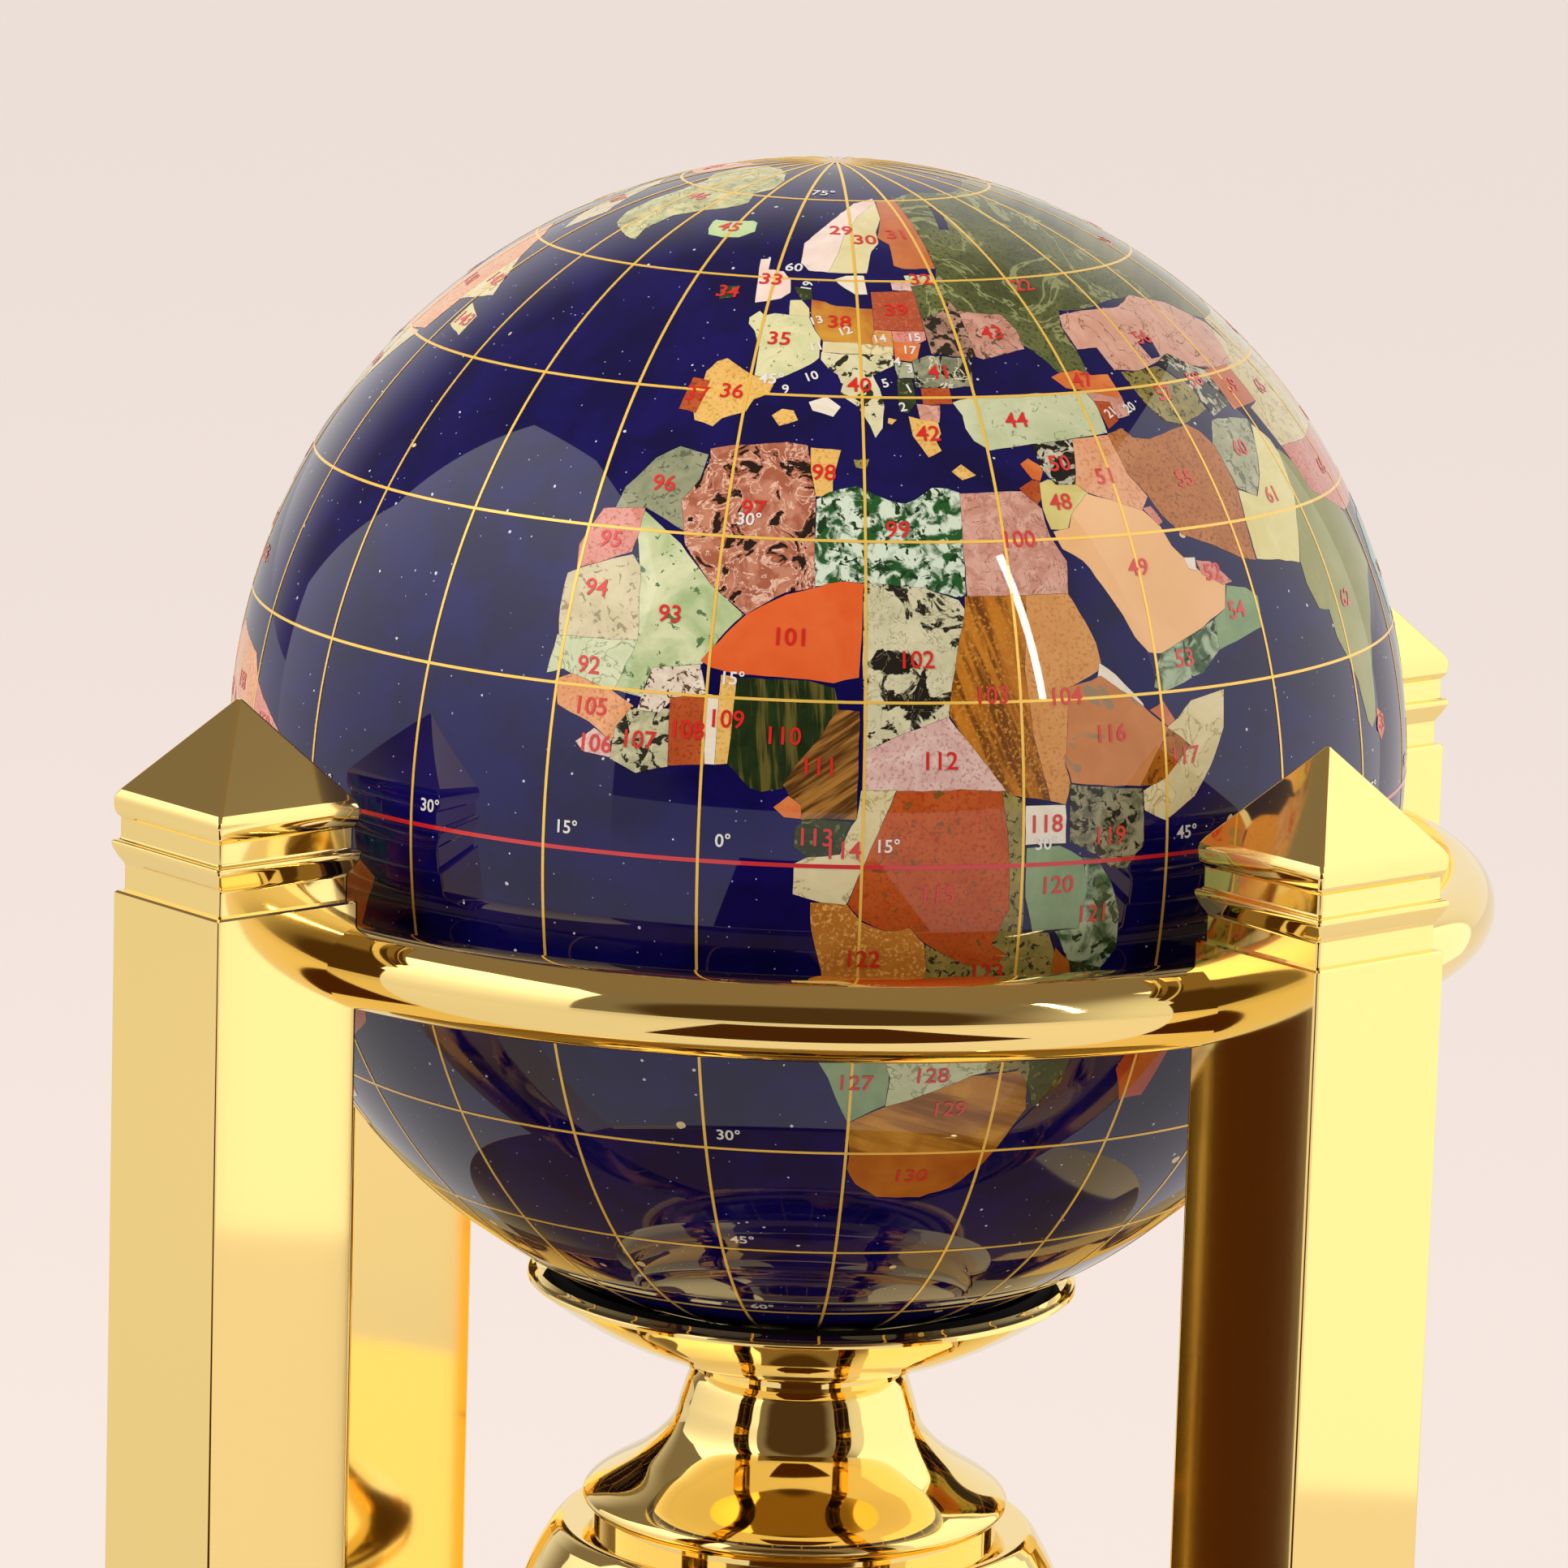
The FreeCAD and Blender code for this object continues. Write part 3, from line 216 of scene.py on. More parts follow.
# Recipes shared by the stones: sRGB colours, sizes in millimetres.
RECIPES = {
    "morocco": dict(base=(128, 136, 108), second=(158, 160, 132), size=3, flecks=(96, 104, 86),
        fleck_share=.25),
    "red_jasper": dict(base=(186, 80, 66), second=(214, 118, 100), veins=(150, 60, 50)),
    "beige_fossil": dict(base=(214, 204, 170), second=(196, 184, 148), flecks=(150, 140, 106),
        fleck_share=.22),
    "mali": dict(base=(214, 218, 180), second=(160, 182, 130), size=7, sharp=.16, flecks=(84, 118, 74),
        fleck_size=2.4, fleck_share=.18),
    "pale_jade": dict(base=(214, 218, 186), second=(186, 198, 156), size=5, veins=(150, 160, 120)),
    "peach": dict(base=(214, 146, 96), second=(232, 172, 124), size=5, grain=(190, 118, 74)),
    "white_red": dict(base=(232, 222, 208), second=(206, 190, 170), size=2, flecks=(92, 60, 44)),
    "cream_black": dict(base=(206, 202, 168), second=(150, 150, 116), size=2.4, flecks=(40, 38, 30),
        fleck_size=1.6, fleck_share=.42),
    "pink_white": dict(base=(228, 204, 196), second=(208, 168, 162), size=3, grain=(190, 140, 138)),
    "brick": dict(base=(168, 74, 36), second=(190, 92, 50), grain=(146, 58, 30)),
    "white_stone": dict(base=(236, 230, 218), second=(222, 212, 196), size=3),
    "yellow": dict(base=(218, 172, 92), second=(230, 190, 112), grain=(200, 148, 72)),
    "nigeria": dict(base=(22, 38, 20), second=(36, 54, 26), size=3, bands=(96, 88, 40), band_size=.8,
        band_turn=(0, 6, 0)),
    "tiger_eye": dict(base=(96, 62, 28), second=(66, 40, 18), bands=(168, 118, 54), band_size=1,
        band_turn=(0, -55, 0)),
    "orange": dict(base=(206, 104, 48), second=(222, 134, 78), size=3),
    "dark_green": dict(base=(34, 48, 28), second=(60, 72, 40), size=2.5, flecks=(110, 110, 66),
        fleck_share=.2),
    "cream_jade": dict(base=(226, 216, 176), second=(208, 196, 148), size=5, veins=(176, 160, 110)),
    "salmon": dict(base=(216, 90, 40), second=(224, 108, 58), size=7, sharp=.3),
    "algeria": dict(base=(160, 92, 70), second=(190, 128, 104), size=2.6, sharp=.1, flecks=(34, 22, 18),
        fleck_size=3.2, fleck_share=.32, veins=(222, 184, 164), vein_size=3.2, vein_width=.022),
    "libya": dict(base=(30, 84, 40), second=(206, 222, 204), size=2.1, sharp=.07, flecks=(22, 54, 26),
        fleck_size=1.5, fleck_share=.28),
    "egypt": dict(base=(196, 142, 126), second=(214, 168, 154), size=2.2, sharp=.1,
        veins=(160, 102, 88), vein_size=2.6, vein_width=.014),
    "chad": dict(base=(214, 210, 178), second=(192, 190, 156), size=3, flecks=(34, 32, 28),
        fleck_size=4.2, fleck_share=.38, veins=(140, 136, 108), vein_size=2.5, vein_width=.01),
    "sudan": dict(base=(198, 126, 38), second=(180, 108, 28), size=6, bands=(112, 62, 16),
        band_size=1.2, band_turn=(0, 25, 0), grain=(196, 136, 52)),
    "tan": dict(base=(204, 142, 78), second=(214, 156, 96), size=7, grain=(190, 124, 62)),
    "ethiopia": dict(base=(206, 136, 84), second=(190, 120, 70), size=6, flecks=(150, 128, 100),
        fleck_size=7),
    "amber": dict(base=(178, 108, 30), second=(150, 84, 20), size=5, flecks=(110, 60, 16)),
    "kenya": dict(base=(150, 146, 116), second=(98, 100, 76), size=1.8, sharp=.12, flecks=(36, 36, 28),
        fleck_size=1.4, fleck_share=.4),
    "congo_red": dict(base=(178, 76, 26), second=(192, 94, 44), flecks=(122, 84, 38), fleck_size=1.5,
        fleck_share=.14, grain=(166, 64, 30)),
    "olive_gold": dict(base=(122, 116, 60), second=(160, 146, 84), size=2.4, flecks=(52, 50, 30),
        fleck_share=.32),
    "green_white": dict(base=(60, 92, 58), second=(168, 186, 158), size=3, sharp=.1,
        flecks=(34, 60, 36), fleck_size=2),
    "angola": dict(base=(196, 128, 52), second=(178, 108, 38), size=6, grain=(228, 176, 96),
        grain_size=.5),
    "namibia": dict(base=(120, 150, 112), second=(146, 172, 134), size=6),
    "south_amber": dict(base=(206, 148, 58), second=(178, 116, 38), size=5, bands=(132, 80, 24),
        band_size=2.8, band_turn=(0, 70, 0)),
    "brown_orange": dict(base=(186, 108, 36), second=(166, 84, 26), size=6),
    "madagascar": dict(base=(186, 70, 34), second=(204, 96, 54), size=5),
    "france": dict(base=(222, 218, 178), second=(198, 202, 152), flecks=(140, 146, 100),
        fleck_share=.14),
    "germany": dict(base=(204, 152, 58), second=(176, 96, 46), size=5, bands=(150, 70, 34),
        band_size=3.6, band_turn=(0, 80, 0)),
    "poland": dict(base=(174, 82, 56), second=(162, 72, 46), grain=(188, 100, 74)),
    "ukraine": dict(base=(184, 130, 112), second=(204, 158, 144), size=2.6, sharp=.14,
        flecks=(96, 76, 64), fleck_size=1.6, fleck_share=.26, veins=(140, 100, 90), vein_size=3),
    "ukraine_dark": dict(base=(140, 108, 92), second=(176, 140, 122), size=2, sharp=.12,
        flecks=(40, 36, 30), fleck_size=1.6, fleck_share=.5),
    "romania": dict(base=(96, 104, 84), second=(150, 152, 126), size=2.2, sharp=.14,
        flecks=(30, 34, 28), fleck_size=2, fleck_share=.4, veins=(214, 208, 184), vein_size=4),
    "italy": dict(base=(222, 218, 184), second=(200, 196, 156), size=3, flecks=(44, 42, 30),
        fleck_size=2, fleck_share=.36),
    "turkey": dict(base=(206, 212, 180), second=(182, 194, 154), size=6, flecks=(140, 150, 116),
        fleck_share=.12),
    "norway": dict(base=(238, 226, 218), second=(226, 196, 188), size=6),
    "sweden": dict(base=(226, 218, 176), second=(206, 198, 146), size=6),
    "finland": dict(base=(200, 120, 74), second=(184, 100, 58), size=6),
    "russia": dict(base=(70, 78, 44), second=(104, 110, 66), size=9, sharp=.2, veins=(140, 146, 100),
        vein_size=12, grain=(56, 62, 36)),
    "siberia": dict(base=(92, 92, 52), second=(120, 118, 72), size=9, bands=(60, 68, 38), band_size=6),
    "greenland": dict(base=(206, 204, 152), second=(160, 164, 112), size=2.6, sharp=.16,
        veins=(126, 128, 84), vein_size=4),
    "iceland": dict(base=(176, 206, 150), second=(196, 218, 170), size=3),
    "syria": dict(base=(216, 212, 190), second=(150, 150, 130), size=2, flecks=(26, 28, 24),
        fleck_size=1.8, fleck_share=.55),
    "jordan": dict(base=(222, 212, 142), second=(206, 192, 118)),
    "saudi": dict(base=(240, 192, 144), second=(232, 182, 128), size=12, sharp=.3),
    "iraq": dict(base=(222, 158, 118), second=(230, 176, 140), size=6, grain=(206, 136, 96)),
    "iran": dict(base=(190, 124, 70), second=(172, 104, 54), size=5, grain=(140, 84, 44)),
    "kazakhstan": dict(base=(206, 152, 132), second=(222, 178, 160), veins=(150, 100, 84), vein_size=6,
        vein_width=.012),
    "terracotta": dict(base=(192, 104, 70), second=(206, 126, 94)),
    "afghanistan": dict(base=(150, 156, 128), second=(186, 188, 160), size=2.4, flecks=(110, 116, 90)),
    "pakistan": dict(base=(228, 222, 166), second=(216, 206, 140), size=6),
    "india": dict(base=(138, 142, 84), second=(158, 160, 104), size=8, sharp=.3),
    "rose": dict(base=(204, 124, 112), second=(220, 156, 144), grain=(184, 100, 92)),
    "marble": dict(base=(228, 224, 214), second=(204, 200, 188), size=5, veins=(128, 120, 110),
        vein_size=6),
    "pearl": dict(base=(236, 230, 226), second=(206, 216, 214), size=5, sharp=.3),
    "malachite": dict(base=(24, 110, 72), second=(18, 84, 54), bands=(90, 170, 124), band_size=1.6),
    "turquoise": dict(base=(92, 168, 160), second=(112, 186, 174), veins=(60, 66, 50), vein_size=4),
}


def gold_paint(name, rough, tint=(255, 227, 150), streak=False):
    """Polished gold plating, faintly wavy, or with fine upright streaks."""
    paint = Paint(name, rough=rough, metallic=1.0)
    paint.colour(tint)
    if streak:
        height = paint.noise(2.2, 2, 0.5, 0.0, stretch=(1, 1, 0.03))
        paint.bump(height, 0.06, 0.03)
    else:
        paint.bump(paint.noise(9.0, 1, 0.4), 0.06, 0.05)
    return paint.mat


def plain_paint(name, tone, rough, metallic=0.0, coat=0.0):
    paint = Paint(name, rough=rough, metallic=metallic, coat=coat)
    paint.colour(tone)
    return paint.mat


# size of a cell, radius of its fleck, share of cells left empty, colour
LAPIS_FLECKS = (
    (1.3, 0.08, 0.5, (150, 156, 200)),
    (2.8, 0.07, 0.55, (206, 208, 222)),
    (7.5, 0.075, 0.74, (220, 200, 150)),
)


def lapis_paint():
    """Deep navy resin and lapis with tiny white, grey and cream flecks."""
    paint = Paint("lapis", rough=0.3, coat=1.0, seed=0.3)
    paint.set(paint.shader, Specular_IOR_Level=0.0)
    tone = paint.mix(paint.ramp(paint.noise(9.0, 4, 0.6, 0.4), 0.35, 0.65), (9, 6, 64), (16, 11, 86))
    for size, radius, empty, speck in LAPIS_FLECKS:
        cell = paint.cells(size, turn=(size * 9, size * 5, 0))
        edge = paint.math("MULTIPLY", paint.noise(size * 0.25, 2, 0.6), radius * 2.0)
        near = paint.math("LESS_THAN", cell.outputs["Distance"], edge)
        pick = paint.add("ShaderNodeTexWhiteNoise")
        paint.link(cell.outputs["Color"], pick.inputs["Vector"])
        some = paint.math("GREATER_THAN", pick.outputs["Value"], empty)
        tone = paint.mix(paint.math("MULTIPLY", near, some), tone, speck)
    paint.colour(tone)
    return paint.mat


# ---- mesh helpers -------------------------------------------------------------------
def make_piece(name, verts, faces, body, material, normals, nodes=()):
    """Mesh piece from vertices in millimetres, riding a body and standing for CAD nodes."""
    mesh = bpy.data.meshes.new(name)
    mesh.from_pydata([tuple(c * MM for c in v) for v in verts], [], faces)
    mesh.validate()
    mesh.polygons.foreach_set("use_smooth", [True] * len(mesh.polygons))
    mesh.normals_split_custom_set(normals(mesh))
    piece = bpy.data.objects.new(name, mesh)
    bpy.context.scene.collection.objects.link(piece)
    mesh.materials.append(material)
    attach(piece, body)
    if nodes:
        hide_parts(*nodes)
    return piece


def on_globe(lon, lat, radius):
    a, b = math.radians(lon + LON0_ANGLE), math.radians(lat)
    return (radius * math.cos(b) * math.cos(a), radius * math.cos(b) * math.sin(a),
            GLOBE_Z + radius * math.sin(b))


OUTWARD_COS = 0.7                   # a face nearer to the radius than this follows the globe


def radial_normals(mesh):
    """Loop normals that follow the globe on outward faces and stay flat on the others."""
    centre = Vector((0, 0, GLOBE_Z * MM))
    out = [None] * len(mesh.loops)
    for face in mesh.polygons:
        outward = face.normal.dot((face.center - centre).normalized()) > OUTWARD_COS
        for i in face.loop_indices:
            if outward:
                out[i] = (mesh.vertices[mesh.loops[i].vertex_index].co - centre).normalized()
            else:
                out[i] = face.normal.copy()
    return out


def weighted_normals(degrees):
    """Loop normals averaged by area over faces meeting below an angle, so wide flats stay flat."""
    limit = math.cos(math.radians(degrees))

    def work(mesh):
        touching = [[] for _ in mesh.vertices]
        for face in mesh.polygons:
            for v in face.vertices:
                touching[v].append(face.normal * (face.area / MM ** 2))
        out = [None] * len(mesh.loops)
        for face in mesh.polygons:
            own = face.normal
            for i, v in zip(face.loop_indices, face.vertices):
                near = [n for n in touching[v] if own.dot(n) > limit * n.length]
                out[i] = sum(near, Vector()).normalized()
        return out

    return work


def curve(points, steps=10):
    """Smooth line through points (Catmull-Rom)."""
    ends = [points[0]] + list(points) + [points[-1]]
    line = [tuple(points[0])]
    for p0, p1, p2, p3 in zip(ends, ends[1:], ends[2:], ends[3:]):
        for k in range(1, steps + 1):
            t = k / steps
            line.append(tuple(0.5 * (2 * b + (c - a) * t + (2 * a - 5 * b + 4 * c - d) * t * t
                                     + (3 * b - a - 3 * c + d) * t ** 3)
                              for a, b, c, d in zip(p0, p1, p2, p3)))
    return line


NEARLY_STRAIGHT = math.radians(158)


def soften(points, radius, steps=4):
    """Round every sharp corner of an open line."""
    line = [points[0]]
    for a, b, c in zip(points, points[1:], points[2:]):
        u = Vector((a[0] - b[0], a[1] - b[1]))
        v = Vector((c[0] - b[0], c[1] - b[1]))
        if u.length < 1e-9 or v.length < 1e-9 or u.angle(v) > NEARLY_STRAIGHT:
            line.append(b)
            continue
        reach = min(radius, 0.45 * u.length, 0.45 * v.length)
        corner = Vector(b)
        p, q = corner + u.normalized() * reach, corner + v.normalized() * reach
        for k in range(steps + 1):
            t = k / steps
            line.append(tuple(p * (1 - t) ** 2 + corner * 2 * t * (1 - t) + q * t * t))
    line.append(points[-1])
    return line


TURNED_CREASE = 40.0                # degrees between faces that still shade as one
COLUMN_CREASE = 24.0


def lathe(name, outline, material, slot, nodes, segments=240):
    """Closed solid turned about the stand's axis from a closed (r, z) outline."""
    count = len(outline)
    verts = []
    for k in range(segments):
        a = 2 * math.pi * k / segments
        verts += [(r * math.cos(a), r * math.sin(a), z) for r, z in outline]
    faces = []
    for k in range(segments):
        here, there = k * count, (k + 1) % segments * count
        for i in range(count):
            j = (i + 1) % count
            faces.append((here + i, there + i, there + j, here + j))
    make_piece(name, verts, faces, "stand", material, weighted_normals(TURNED_CREASE), nodes)


def rounded_square(half, corner, z, steps=5):
    loop = []
    for quarter in range(4):
        for k in range(steps + 1):
            a = math.radians(quarter * 90 + 90 * k / steps)
            cx = (half - corner) * (1 if quarter in (0, 3) else -1)
            cy = (half - corner) * (1 if quarter in (0, 1) else -1)
            loop.append((cx + corner * math.cos(a), cy + corner * math.sin(a), z))
    return loop


def square_column(name, sections, angle, material, nodes):
    """Upright square piece from (half width, z) sections, at its pillar."""
    turn = Matrix.Rotation(math.radians(angle), 4, "Z") @ Matrix.Translation((PILLAR_D, 0, 0))
    verts = []
    for half, z in sections:
        loop = rounded_square(half, min(CORNER_R, 0.8 * half), z)
        verts += [tuple(turn @ Vector(p)) for p in loop]
    size = len(loop)
    faces = [tuple(range(size - 1, -1, -1))]
    for level in range(len(sections) - 1):
        here, there = level * size, (level + 1) * size
        for i in range(size):
            j = (i + 1) % size
            faces.append((here + i, here + j, there + j, there + i))
    faces.append(tuple(range((len(sections) - 1) * size, len(sections) * size)))
    make_piece(name, verts, faces, "stand", material, weighted_normals(COLUMN_CREASE), nodes)


# ---- stones -------------------------------------------------------------------------
# (piece name, recipe, record slot without "stone_", outlines in degrees east and north).
# Where outlines overlap, the later stone wins, so only the visible edges need care.
SEA = "sea"
STONES = [
    # northern Europe and Russia
    ("russia", "russia", "green", [(33, 75.6), (45, 77), (62, 76), (80, 77), (80, 52.5), (72, 55.6),
     (64, 55.6), (56, 54.8), (51, 55), (49, 53), (49, 49.6), (48.6, 47), (44, 47.2), (42.8, 48.8),
     (40.5, 51), (36, 54.5), (25.3, 54), (24.6, 59.2), (30, 59.6), (31.4, 61.8), (32.3, 69)]),
    ("siberia_west", "siberia", "green", [(78, 77), (96, 78), (104, 77), (104, 52), (98, 50.5),
     (88, 50.5), (78, 53)]),
    ("siberia_central", "green_white", "green", [(103, 77), (113, 74.5), (128, 73), (128, 52),
     (118, 50), (103, 51.5)]),
    ("siberia_east", "olive_gold", "green", [(127, 73), (140, 72.5), (152, 71), (152, 59.5), (142, 59),
     (136, 54.5), (140.5, 48.5), (134, 47.5), (127, 51)]),
    ("chukotka", "pale_jade", "pale", [(151, 71), (170, 70), (189, 66.4), (179, 62.5), (163, 60),
     (151, 59.5)]),
    ("kamchatka", "terracotta", "red", [(156, 60.5), (163.5, 60.5), (162, 56.5), (157, 51.2),
     (155.8, 56)]),
    ("sakhalin", "white_stone", "pale", [(142, 54), (144, 50), (143, 46.2), (141.8, 48)]),
    ("white_sea", SEA, "", [(38.8, 68.6), (43.5, 73.4), (46, 72.8), (41.5, 68.4)]),
    ("norway", "norway", "pale", [(4, 65.9), (6.5, 68), (9.3, 70), (12.5, 72), (17, 74.3), (25, 75.6),
     (25, 74.6), (17.5, 71.5), (13.2, 67.5), (11.8, 64.5), (9.8, 61.2), (6, 61.4), (4.2, 62.6)]),
    ("sweden", "sweden", "pale", [(9.8, 61.2), (17.3, 61.2), (18.3, 63.3), (19, 64.8), (21.2, 66.3),
     (21.3, 68.3), (24, 71), (25, 74.6), (17.5, 71.5), (13.2, 67.5), (11.8, 64.5)]),
    ("finland", "finland", "red", [(21.2, 67.3), (23.6, 66), (23, 62.5), (24.6, 61.9), (31.4, 61.9),
     (32.3, 69), (33, 75.4), (25.4, 74.8), (24, 71)]),
    ("baltic_coast", "pale_jade", "pale", [(24.4, 60.9), (30.4, 60.9), (30.1, 59.6), (24.6, 59.3)]),
    ("baltic_islet", "pink_white", "pale", [(21.5, 60.2), (25.2, 60), (25.1, 58.6), (21.5, 58.7)]),
    ("denmark", "white_stone", "pale", [(13.2, 60.8), (16.6, 60.8), (16.9, 58.1), (14.8, 58),
     (12, 59.4), (11, 60.2)]),
    # western and southern Europe
    ("britain", "norway", "pale", [(-4.3, 62.8), (-2.2, 63), (-1.8, 61.3), (1.2, 61.1), (3, 59.8),
     (3.4, 58), (2, 57), (-2.3, 56.2), (-2.6, 57.8), (-3.3, 60)]),
    ("ireland", "dark_green", "green", [(-9.4, 58.2), (-6, 58.6), (-6.6, 56.8), (-8.6, 56.4)]),
    ("low_countries", "sweden", "pale", [(3.6, 56.9), (5.6, 57), (7, 55.8), (7.2, 54.6), (3.8, 54.9)]),
    ("north_sea_coast", "dark_green", "green", [(3.8, 58.8), (7, 58.8), (7.4, 57.1), (5.6, 57)]),
    ("france", "france", "pale", [(-2.4, 54.2), (-1, 55.2), (0, 54.6), (1.5, 55), (7, 54.8), (8.3, 53),
     (9.2, 52), (9.2, 49.5), (7.8, 48.6), (4.7, 47.2), (3.3, 46.7), (0.5, 47.1), (0.3, 50.5),
     (-1, 52.5), (-2.2, 53.4)]),
    ("spain", "yellow", "amber", [(-6.2, 47.2), (-5.2, 48.4), (-3.8, 48.9), (-1.2, 47.7), (0.4, 47.1),
     (3.4, 46.7), (2.9, 45), (1, 44.3), (0.3, 42.9), (-2.5, 42), (-3.5, 41.1), (-6, 41.6),
     (-6.3, 42.5)]),
    ("portugal", "brick", "red", [(-7.8, 46.4), (-5.4, 46.2), (-5.5, 44.5), (-6, 42.5), (-8.4, 42.7)]),
    ("balearics", "yellow", "amber", [(3.6, 42.6), (4.8, 43.5), (6.3, 43.3), (7, 42.2), (4.7, 41.5)]),
    ("corsica", "white_stone", "pale", [(8.1, 44.3), (10.4, 45), (12.3, 43.8), (11.3, 42.8),
     (8.7, 43.3)]),
    ("germany", "germany", "amber", [(7.2, 57.1), (9.5, 56.8), (11.5, 56.3), (17.6, 56), (17.6, 53.2),
     (16.8, 52.2), (17, 51.4), (9.6, 51.6), (9.2, 52), (8.2, 53.2), (7.4, 55)]),
    ("poland", "poland", "red", [(17.5, 58.4), (25.2, 58.6), (25.3, 53), (17.4, 53.2)]),
    ("bohemia", "tan", "amber", [(17.4, 53.2), (20, 53.1), (20, 51), (17, 51.4), (16.8, 52.2)]),
    ("slovakia", "rose", "rose", [(20, 53.1), (25.3, 53), (25.2, 52), (23.8, 51.5), (20, 51.6)]),
    ("austria", "cream_jade", "pale", [(9.6, 51.6), (17, 51.4), (19.9, 51), (19.7, 50), (9.5, 50.2)]),
    ("hungary", "orange", "red", [(20, 51.6), (24.2, 51.5), (23, 49.2), (19.9, 49.5)]),
    ("italy", "italy", "pale", [(9.4, 50.2), (14.5, 50), (19.8, 50.1), (19.6, 48.8), (16.6, 47.6),
     (17.4, 46), (17.8, 44), (17.4, 41.6), (16.5, 40.5), (15.9, 41.8), (14.4, 44), (12, 45.2),
     (12.4, 46.2), (11.8, 47.6), (10.4, 48.3), (9.4, 49.3)]),
    ("croatia", "afghanistan", "green", [(19.7, 49.4), (22.3, 49.1), (22.3, 47.3), (20, 47.2)]),
    ("serbia", "dark_green", "green", [(19.8, 47.1), (22, 47.2), (22, 44.4), (20.8, 43.3),
     (19.7, 43.6)]),
    ("romania", "romania", "green", [(22.4, 49.4), (24.8, 50), (30.9, 49.5), (30.3, 46.2), (25, 46),
     (22.3, 46.3)]),
    ("bulgaria", "brick", "red", [(22.9, 46.1), (26.8, 46.1), (26.8, 44.3), (22.9, 44.2)]),
    ("macedonia", "egypt", "rose", [(22, 44.3), (25.1, 44.1), (24.6, 42.2), (22.2, 42.5)]),
    ("greece", "yellow", "amber", [(20.8, 43), (22.2, 42.6), (24.4, 42.3), (24.6, 41), (23.9, 40.2),
     (24.3, 39.2), (22.7, 38.5), (21, 40.8)]),
    ("sicily", "olive_gold", "green", [(13.8, 38.2), (15.6, 38.3), (15.2, 37.2), (14, 37.4)]),
    ("corfu", "yellow", "amber", [(18.3, 42.7), (19.2, 42.5), (18.6, 42), (18.1, 42.2)]),
    ("crete", "yellow", "amber", [(25.2, 37), (26.4, 37.8), (28, 36.6), (26.3, 36.1)]),
    ("ukraine_west", "ukraine_dark", "rose", [(25.3, 54.6), (26.2, 54.9), (29.5, 55.8), (31, 57.2),
     (32, 55.6), (32, 49.7), (30.9, 49.6), (25.4, 50.2)]),
    ("ukraine", "ukraine", "rose", [(32, 55.7), (36, 55.2), (39.3, 55), (40.6, 52.8), (40.2, 50.5),
     (33, 49.4), (32, 49.7)]),
    ("turkey", "turkey", "pale", [(26.8, 44.5), (30, 45.1), (46.4, 45.2), (47.2, 43.6), (47, 40.4),
     (36, 39.7), (30.3, 39.1), (28.6, 40.2), (27.7, 41.6), (27.8, 43)]),
    ("iceland", "iceland", "green", [(-22.4, 68.5), (-22.2, 69), (-18, 69), (-11.5, 69.5),
     (-10.1, 69.2), (-9, 67.5), (-12, 66.2), (-16, 66), (-20, 66.2), (-21.5, 67.3)]),
    ("greenland", "greenland", "pale", [(-54, 67.5), (-50, 65.6), (-46, 64.9), (-40, 63.9), (-37, 63.8),
     (-38.6, 65.8), (-36.5, 68.6), (-31, 70.2), (-25, 71.2), (-21, 72.2), (-18.8, 73.2), (-21, 75.5),
     (-16.5, 77), (-17, 79.5), (-25, 82), (-40, 83.3), (-62, 83), (-70, 81), (-66, 78), (-56, 76.5),
     (-54, 73.5), (-55, 70.5)]),
    # Caucasus and western Asia
    ("georgia", "orange", "red", [(42.3, 47), (44, 47.4), (47, 47.6), (49, 46.8), (51.9, 46.8),
     (52, 43.9), (46.4, 45.2), (43.8, 45.6)]),
    ("armenia", "brick", "red", [(47.1, 43.9), (49.6, 43.7), (49.5, 41.6), (47.4, 40.8)]),
    ("azerbaijan", "egypt", "rose", [(46.4, 45.2), (52, 43.9), (51.8, 42), (49.6, 41.8), (49.6, 43.7),
     (47.1, 43.9)]),
    ("lebanon", "orange", "amber", [(33.7, 37.6), (34.8, 38.2), (36.5, 37.2), (35.7, 35.8),
     (34.7, 36.1)]),
    ("levant", "brick", "red", [(32.8, 35.2), (34.6, 36), (35.7, 35.8), (35.3, 34), (34.4, 33.2)]),
    ("jordan", "jordan", "pale", [(35.5, 35.6), (36.6, 36), (40, 35.3), (41.3, 34.3), (38.4, 32.3),
     (37.6, 30.8), (35.6, 31), (35.1, 33)]),
    ("saudi_arabia", "saudi", "amber", [(35.8, 30.8), (37.8, 31), (38.4, 32.3), (41, 34.3), (44, 33.5),
     (47.8, 32.2), (49.5, 30.4), (50.2, 28.5), (51.5, 27), (53.5, 25.6), (56.1, 24.2), (55.2, 22),
     (50.5, 20.2), (45.8, 18.6), (44.3, 18.8), (43, 20.2), (42, 22.4), (40.3, 25.2), (38.6, 27.8),
     (36.5, 29)]),
    ("syria", "syria", "pale", [(35.8, 39.7), (41.7, 40), (41, 37.4), (40, 35.2), (37.5, 35.4),
     (36.2, 37)]),
    ("iraq", "iraq", "rose", [(41.6, 40), (46.9, 40.2), (47.5, 36), (49.1, 33.6), (47.7, 32.2),
     (44, 33.5), (41.2, 34.4), (40, 35.3), (40.8, 37.4)]),
    ("kuwait", "rose", "rose", [(47.8, 32.4), (49.1, 32.6), (50, 30.9), (49.3, 30.5)]),
    ("qatar", "white_stone", "pale", [(51.3, 27.2), (52.9, 27.1), (52.6, 25.9), (51.5, 26.2)]),
    ("emirates", "rose", "rose", [(52.9, 26.8), (54.8, 26.6), (57.3, 24.4), (55.8, 24.2),
     (53.2, 25.5)]),
